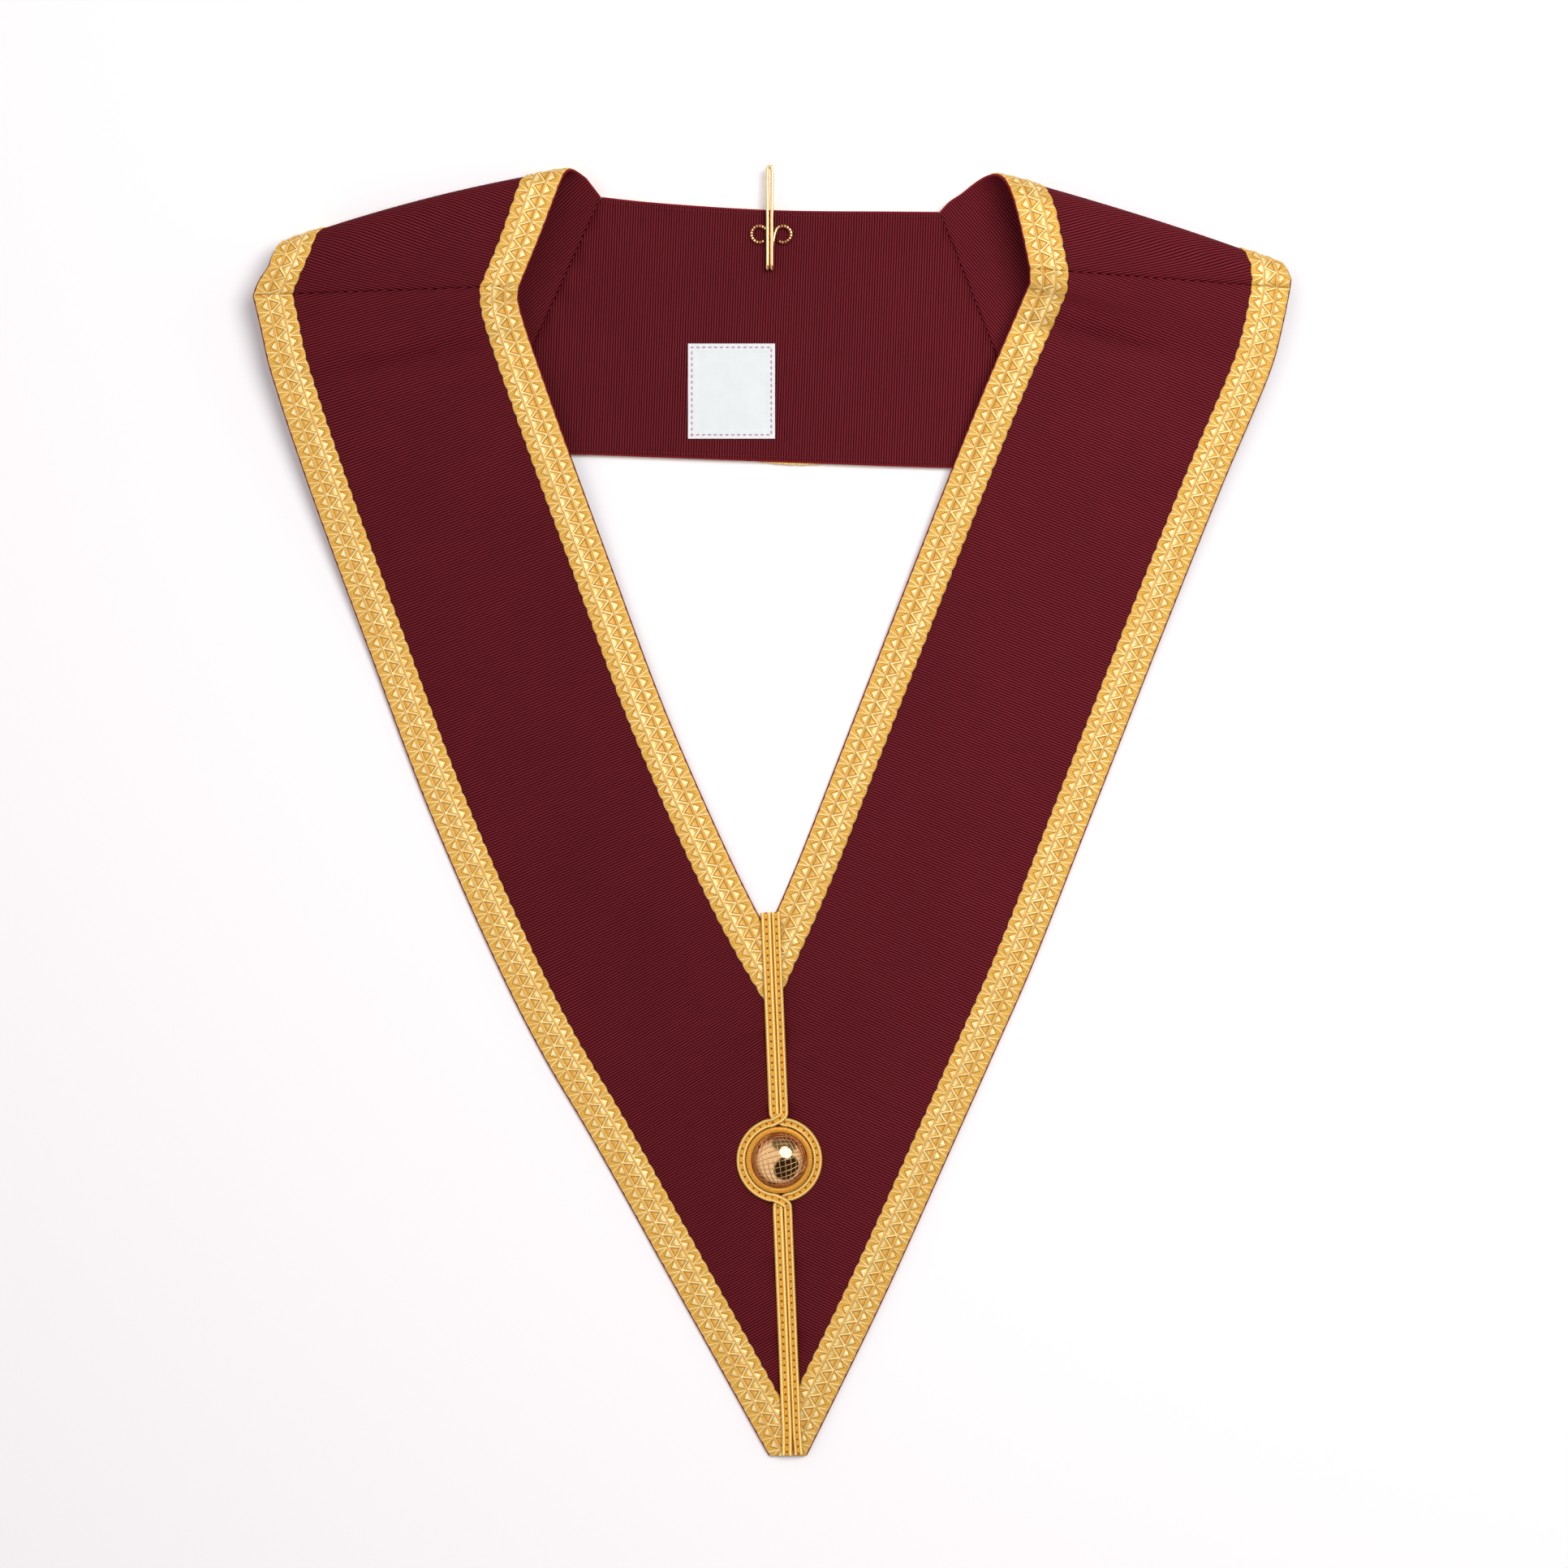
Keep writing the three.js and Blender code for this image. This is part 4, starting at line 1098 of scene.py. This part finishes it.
class Growth:
    """A Geometry Nodes tree that grows threads, wires or stitches along lines. Its inputs are their sizes in
    metres."""

    def __init__(self, name, paint, **sizes):
        self.paint = paint
        self.tree = bpy.data.node_groups.new(name, "GeometryNodeTree")
        new_socket = self.tree.interface.new_socket
        new_socket("Geometry", in_out="INPUT", socket_type="NodeSocketGeometry")
        for size, value in sizes.items():
            new_socket(size, in_out="INPUT", socket_type="NodeSocketFloat").default_value = value
        new_socket("Geometry", in_out="OUTPUT", socket_type="NodeSocketGeometry")
        self.given = self.tree.nodes.new("NodeGroupInput").outputs
        self.curve = self.node("GeometryNodeMeshToCurve", {"Mesh": self.given["Geometry"]})[0]

    def node(self, kind, links, **settings):
        """The outputs of a new node. links gives, for its sockets by name, a socket to join or a value."""
        made = self.tree.nodes.new(kind)
        for key, value in settings.items():
            setattr(made, key, value)
        for key, value in links.items():
            if isinstance(value, bpy.types.NodeSocket):
                self.tree.links.new(value, made.inputs[key])
            else:
                made.inputs[key].default_value = value
        return made.outputs

    def circle(self, size, share, corners):
        """A circle, its radius a share of one of the sizes."""
        radius = self.node("ShaderNodeMath", {0: self.given[size], 1: share}, operation="MULTIPLY")[0]
        return self.node("GeometryNodeCurvePrimitiveCircle", {"Radius": radius, "Resolution": corners})[0]

    def swept(self, curve, profile, caps=False):
        links = {"Curve": curve, "Profile Curve": profile, "Fill Caps": caps}
        return self.node("GeometryNodeCurveToMesh", links)[0]

    def copies(self, shape, **links):
        """The shape at every step along the lines."""
        steps = {"Curve": self.curve, "Length": self.given["Step"]}
        spots = self.node("GeometryNodeCurveToPoints", steps, mode="LENGTH")
        links.update(Points=spots["Points"], Instance=shape, Rotation=spots["Rotation"])
        return self.node("GeometryNodeInstanceOnPoints", links)[0]

    def done(self, geometry, *last_kinds):
        """The tree, which ends in that geometry as a plain mesh of its material."""
        for kind in ("GeometryNodeRealizeInstances", *last_kinds):
            geometry = self.node(kind, {"Geometry": geometry})[0]
        geometry = self.node("GeometryNodeSetMaterial", {"Geometry": geometry, "Material": self.paint})[0]
        self.tree.links.new(geometry, self.tree.nodes.new("NodeGroupOutput").inputs[0])
        return self.tree


def grown(name, slot, lines, tree, **sizes):
    """A piece of plain mesh grown along lines of points in the layout. sizes sets the tree's inputs, in
    millimetres."""
    mesh = bpy.data.meshes.new(name)
    counts = np.cumsum([0, *[len(line) for line in lines]])
    edges = [(i, i + 1) for a, b in zip(counts[:-1], counts[1:]) for i in range(a, b - 1)]
    mesh.from_pydata(placed(np.vstack(lines)).tolist(), edges, [])
    guide = new_object(name, mesh)
    modifier = guide.modifiers.new("growth", "NODES")
    modifier.node_group = tree
    for item in tree.interface.items_tree:
        if item.in_out == "INPUT" and item.name in sizes:
            modifier[item.identifier] = float(sizes[item.name] * MM)
    graph = bpy.context.evaluated_depsgraph_get()
    result = bpy.data.meshes.new_from_object(guide.evaluated_get(graph))
    guide.modifiers.remove(modifier)
    guide.data = result
    result.name = name
    finished(guide, slot)
    return guide


def wire_tree(paint):
    """Round wires along lines."""
    growth = Growth("wires", paint, Thickness=0.0004)
    return growth.done(growth.swept(growth.curve, growth.circle("Thickness", 0.5, 6), True))


dome_middle = np.array([*button_plan, BUTTON_LEVEL])
dome_foot = placed(dome_middle)[2]
dome_profile = [(0, 0), (BUTTON_RADIUS - 0.15, 0)]
for turn in np.linspace(0.02, math.pi / 2 - 0.02, 40):
    dome_profile.append((BUTTON_RADIUS * math.cos(turn), BUTTON_RISE * math.sin(turn)))
dome_profile.append((0, BUTTON_RISE))
polished_gold = bare_gold(
    "polished_gold",
    (0.90, 0.60, 0.30, 1),
    (0.78, 0.46, 0.20, 1),
    (900.0, 3.0),
    (0.03, 0.08),
    ((0.42, 0.115, 0.045, 1), 0.85, 5.3, 3.3),
)
dome_mesh = turned_mesh(dome_profile, DOME_SEGMENTS, dome_middle)
new_piece("button_dome", "gold_metal", ["button"], polished_gold, *dome_mesh)

net_lines = []
for tilt in NET_TILTS:
    for index in range(-6, 7):
        lean = index * NET_SPACING
        swing = np.linspace(-math.pi / 2, math.pi / 2, 81)[1:-1]
        aside = math.sin(lean) * np.cos(swing)
        ahead, up = np.sin(swing), math.cos(lean) * np.cos(swing)
        x = aside * math.cos(tilt) - ahead * math.sin(tilt)
        y = aside * math.sin(tilt) + ahead * math.cos(tilt)
        line = np.stack([x * BUTTON_RADIUS, y * BUTTON_RADIUS, up * BUTTON_RISE], axis=-1)
        line = line[line[:, 2] > 0.5]
        if len(line) > 3:
            net_lines.append(line + dome_middle)
net_gold = bare_gold(
    "net_gold",
    (0.66, 0.46, 0.23, 1),
    (0.46, 0.25, 0.09, 1),
    (1200.0, 2.0),
    (0.26, 0.15),
    ((0.36, 0.11, 0.04, 1), 0.7, 4.2, 2.6),
)
grown("button_net", "gold_metal", net_lines, wire_tree(net_gold), Thickness=NET_WIRE)

# Neck hook
# A hairpin of gold wire, bent back over itself, that is sewn to the back of the neck by its two eyes with
# dark red thread.
HOOK_WIRE = 1.4
HOOK_PITCH = 1.75
HOOK_REACH = 40.5
HOOK_EYE = 3.2
HOOK_RISE = 2.1
HOOK_PLACE = plan(-0.004, 0.927, 0)
HOOK_EYES = ((-4.0, 14.0, 305, 15), (5.3, 14.0, 165, -125))
BACK_TOP = OVER_LACE_LEVEL + CLOTH_WALL / 2
HOOK_LOW = BACK_TOP + CLEARANCE + HOOK_WIRE / 2
HOOK_HIGH = HOOK_LOW + HOOK_RISE
HOOK_STEP = 0.22
HOOK_CORNERS = 14
HOOK_TIP = 0.6
THREAD_STEP = 1.15
THREAD_WIDTH = 0.62
wire_side = HOOK_PITCH / 2


def arc(radius, start, end, count):
    """Places on a circle, across and up, from one bearing to another in degrees."""
    turn = np.radians(np.linspace(start, end, count))
    return grid_points(radius * np.cos(turn), radius * np.sin(turn))


def bend_points(x):
    half = HOOK_RISE / 2
    return [(x, half - back, HOOK_LOW + half + up) for back, up in arc(half, -90, 90, 5)]


left_eye, right_eye = (
    [(x + across, y + up, HOOK_LOW) for across, up in arc(HOOK_EYE, start, end, 11)]
    for x, y, start, end in HOOK_EYES
)
hook_points = [
    *left_eye,
    (-wire_side, HOOK_EYES[0][1] - HOOK_EYE, HOOK_LOW),
    (-wire_side, HOOK_EYES[0][1] / 2, HOOK_LOW),
    *bend_points(-wire_side),
    (-wire_side, HOOK_REACH / 2, HOOK_HIGH),
    *[(across, HOOK_REACH - wire_side + up, HOOK_HIGH) for across, up in arc(wire_side, 180, 0, 5)],
    (wire_side, HOOK_REACH / 2, HOOK_HIGH),
    *bend_points(wire_side)[::-1],
    (wire_side, HOOK_EYES[1][1] / 2, HOOK_LOW),
    *right_eye,
]
line, places = smooth_path(np.array(hook_points) + HOOK_PLACE, HOOK_STEP)
around = np.arange(HOOK_CORNERS) * 2 * math.pi / HOOK_CORNERS
from_tip = np.minimum(places, places[-1] - places) / HOOK_TIP
rounded = np.sqrt(np.clip(1 - (1 - from_tip).clip(0, 1) ** 2, 0.04, 1))
sections = grid_points(np.cos(around), np.sin(around)) * (HOOK_WIRE / 2 * rounded)[:, None, None]
hook_mesh = sweep(line, places, sections, around, False)
hook_gold = bare_gold("hook_gold", (0.92, 0.70, 0.36, 1), (0.76, 0.46, 0.16, 1), (700.0, 3.0), (0.1, 0.12))
new_piece("hook_wire", "gold_metal", ["neck_hook"], hook_gold, *hook_mesh)


def wrap_tree(paint):
    """Turns of thread round a wire, a step apart."""
    growth = Growth("wraps", paint, Step=0.001, Wire=0.0014, Thread=0.0004)
    turn = growth.swept(growth.circle("Wire", 0.55, 16), growth.circle("Thread", 0.5, 6))
    return growth.done(growth.copies(turn))


def sewing_thread(name, light, dark):
    paint = material(name, Roughness=0.55, Specular_IOR_Level=0.2)
    fibres = paint.noise(paint.place(), 2500.0, 3.0)
    paint.feed("Base Color", paint.mix(dark, light, fibres))
    paint.bump(fibres, 0.4, 0.00005)
    return paint.owner


red_thread = sewing_thread("red_thread", (0.210, 0.016, 0.010, 1), (0.085, 0.003, 0.003, 1))
wrap_lines = [smooth_path(np.array(eye) + HOOK_PLACE, 0.3)[0] for eye in (left_eye, right_eye[2:])]
sizes = {"Step": THREAD_STEP, "Wire": HOOK_WIRE, "Thread": THREAD_WIDTH}
grown("hook_stitches", "dark_red_ribbon", wrap_lines, wrap_tree(red_thread), **sizes)

# Label
# A bare white satin label, folded in at its edges and sewn down all round by a row of pale pink stitches.
LABEL_WIDTH = 34.5
LABEL_DEPTH = 37.7
LABEL_WALL = 0.5
LABEL_LIFT = 0.42
LABEL_HEM = 3.2
LABEL_BORDER = 1.5
LABEL_PLACE = plan(-0.078, 0.832)


def label_height(x, y):
    """How high the label's middle lies over the cloth, x and y from its middle."""
    from_edge = np.minimum(LABEL_WIDTH / 2 - np.abs(x), LABEL_DEPTH / 2 - np.abs(y))
    hem = 0.16 * (1 - 1 / (1 + np.exp(-(from_edge - LABEL_HEM) * 5)))
    pucker = 0.042 * np.exp(-from_edge / 4) * (np.cos(x * 1.9 + 0.6) + np.cos(y * 1.7))
    crown = 0.18 * (1 - np.exp(-((from_edge / 7) ** 2)))
    ripple = 0.06 * np.sin(x * 0.35 + y * 0.12) * np.clip(from_edge / 5, 0, 1)
    return LABEL_LIFT + hem + pucker + crown + ripple


def label_satin():
    paint = material("white_label", Roughness=0.42, Specular_IOR_Level=0.35)
    x, y = paint.flat()
    weave = x.wave(0.28) * 0.5 + y.wave(0.34) * 0.5
    threads = paint.grain(x * 0.25, y * 3.4, 2.0)
    satin = paint.grain(x, y, 3.0, 0.16) * 0.7 + threads * 0.4
    paint.feed("Base Color", paint.mix((0.64, 0.68, 0.68, 1), (0.75, 0.80, 0.80, 1), satin))
    paint.bump(weave * 0.5 + threads * 0.6, 0.4, 0.00005)
    return paint.owner


columns = np.linspace(-LABEL_WIDTH / 2, LABEL_WIDTH / 2, 72)
rows = np.linspace(-LABEL_DEPTH / 2, LABEL_DEPTH / 2, 78)
x, y = np.meshgrid(columns, rows)
level = BACK_TOP + label_height(x, y)
layers = [
    grid_points(x + LABEL_PLACE[0], y + LABEL_PLACE[1], level + lift)
    for lift in (LABEL_WALL / 2, -LABEL_WALL / 2)
]
label = new_piece(
    "white_label",
    "white_label",
    ["label"],
    label_satin(),
    np.vstack(layers),
    wall_faces(*x.shape),
    np.vstack([grid_points(x, y), grid_points(x, y)]),
    sharp=75,
)


def stitch_tree(paint):
    """Stitches a step apart along lines, each a short bead of thread."""
    growth = Growth("stitches", paint, Step=0.002, Length=0.0015, Thickness=0.0004)
    bead = growth.node("GeometryNodeMeshUVSphere", {"Segments": 8, "Rings": 5, "Radius": 0.5})["Mesh"]
    thickness, length = growth.given["Thickness"], growth.given["Length"]
    size = growth.node("ShaderNodeCombineXYZ", {"X": thickness, "Y": thickness, "Z": length})[0]
    return growth.done(growth.copies(bead, Scale=size), "GeometryNodeSetShadeSmooth")


half_sides = (LABEL_WIDTH / 2 - LABEL_BORDER, LABEL_DEPTH / 2 - LABEL_BORDER)
corners = np.array([(-1, -1), (1, -1), (1, 1), (-1, 1), (-1, -1)]) * half_sides
border_line = []
for first, second in zip(corners[:-1], corners[1:]):
    for share in np.linspace(0, 1, 60):
        spot = first + (second - first) * share
        height = BACK_TOP + label_height(*spot) + LABEL_WALL / 2 + 0.05
        border_line.append([*(spot + LABEL_PLACE), height])
pink_thread = sewing_thread("pink_thread", (0.60, 0.34, 0.42, 1), (0.44, 0.19, 0.28, 1))
pink_tree = stitch_tree(pink_thread)
label_stitches = grown(
    "label_stitches", "white_label", [border_line], pink_tree, Step=2.3, Length=1.5, Thickness=0.6
)

# Stitches
# A row of dark red machine stitches, two millimetres in, shows on the inside of the back panel along both
# edges, where its laces are sewn on underneath.
SEWN_IN = 2.0
back = straps["back"]
u = np.linspace(0.08, back.last - 0.08, 160)
width = np.linalg.norm(back.curve(1, u) - back.curve(0, u), axis=1)
sewn_lines = [back.offset(u, v, -CLOTH_WALL / 2) for v in (SEWN_IN / width, 1 - SEWN_IN / width)]
silk_thread = sewing_thread("silk_thread", (0.15, 0.014, 0.022, 1), (0.06, 0.003, 0.006, 1))
silk_tree = stitch_tree(silk_thread)
grown("back_stitches", "dark_red_ribbon", sewn_lines, silk_tree, Step=2.6, Length=2.1, Thickness=0.5)

# Floor and lights
# A plain white floor, a soft light above and to the upper right, and the even light of a room that is dark
# towards the lower right and beyond the top of the collar, and a little dimmer straight above it.
FLOOR_SIDE = 30.0
floor_mesh = bpy.data.meshes.new("floor")
corners = np.array([(-1, -1, 0), (1, -1, 0), (1, 1, 0), (-1, 1, 0)]) * FLOOR_SIDE / 2
floor_mesh.from_pydata(corners.tolist(), [], [(0, 1, 2, 3)])
floor = new_object("floor", floor_mesh)
floor_colour = (0.93, 0.925, 0.93, 1)
floor_paint = material("floor", Base_Color=floor_colour, Roughness=0.9, Specular_IOR_Level=0.1)
floor.data.materials.append(floor_paint.owner)

key = bpy.data.lights.new("key", "AREA")
key.shape = "DISK"
key.size = 1.1
key.energy = 21.5
key_light = new_object("key", key)
key_light.location = (0.56, 0.54, 1.5)
key_light.rotation_euler = key_light.location.to_track_quat("Z", "Y").to_euler()

world = bpy.data.worlds.new("room")
bpy.context.scene.world = world
room = Paint(world, "Background", Strength=1.04)
ray = room.place(0)
towards_x, towards_y, towards_z = (room.split(ray, axis) for axis in range(3))
lower_right = (towards_x * 0.42 - towards_y * 0.47 + towards_z * 0.775).smooth(0.71, 0.80)
far_top = (towards_x * 0.25 + towards_y * 0.84 + towards_z * 0.48).smooth(0.74, 0.85)
overhead = towards_z.smooth(0.985, 0.998)
gloom = lower_right.most(far_top * 0.85).most(overhead * 0.2)
room.feed("Color", room.mix((1.0, 0.935, 0.95, 1), (0.03, 0.022, 0.02, 1), gloom))
bpy.context.scene.view_settings.view_transform = "Standard"
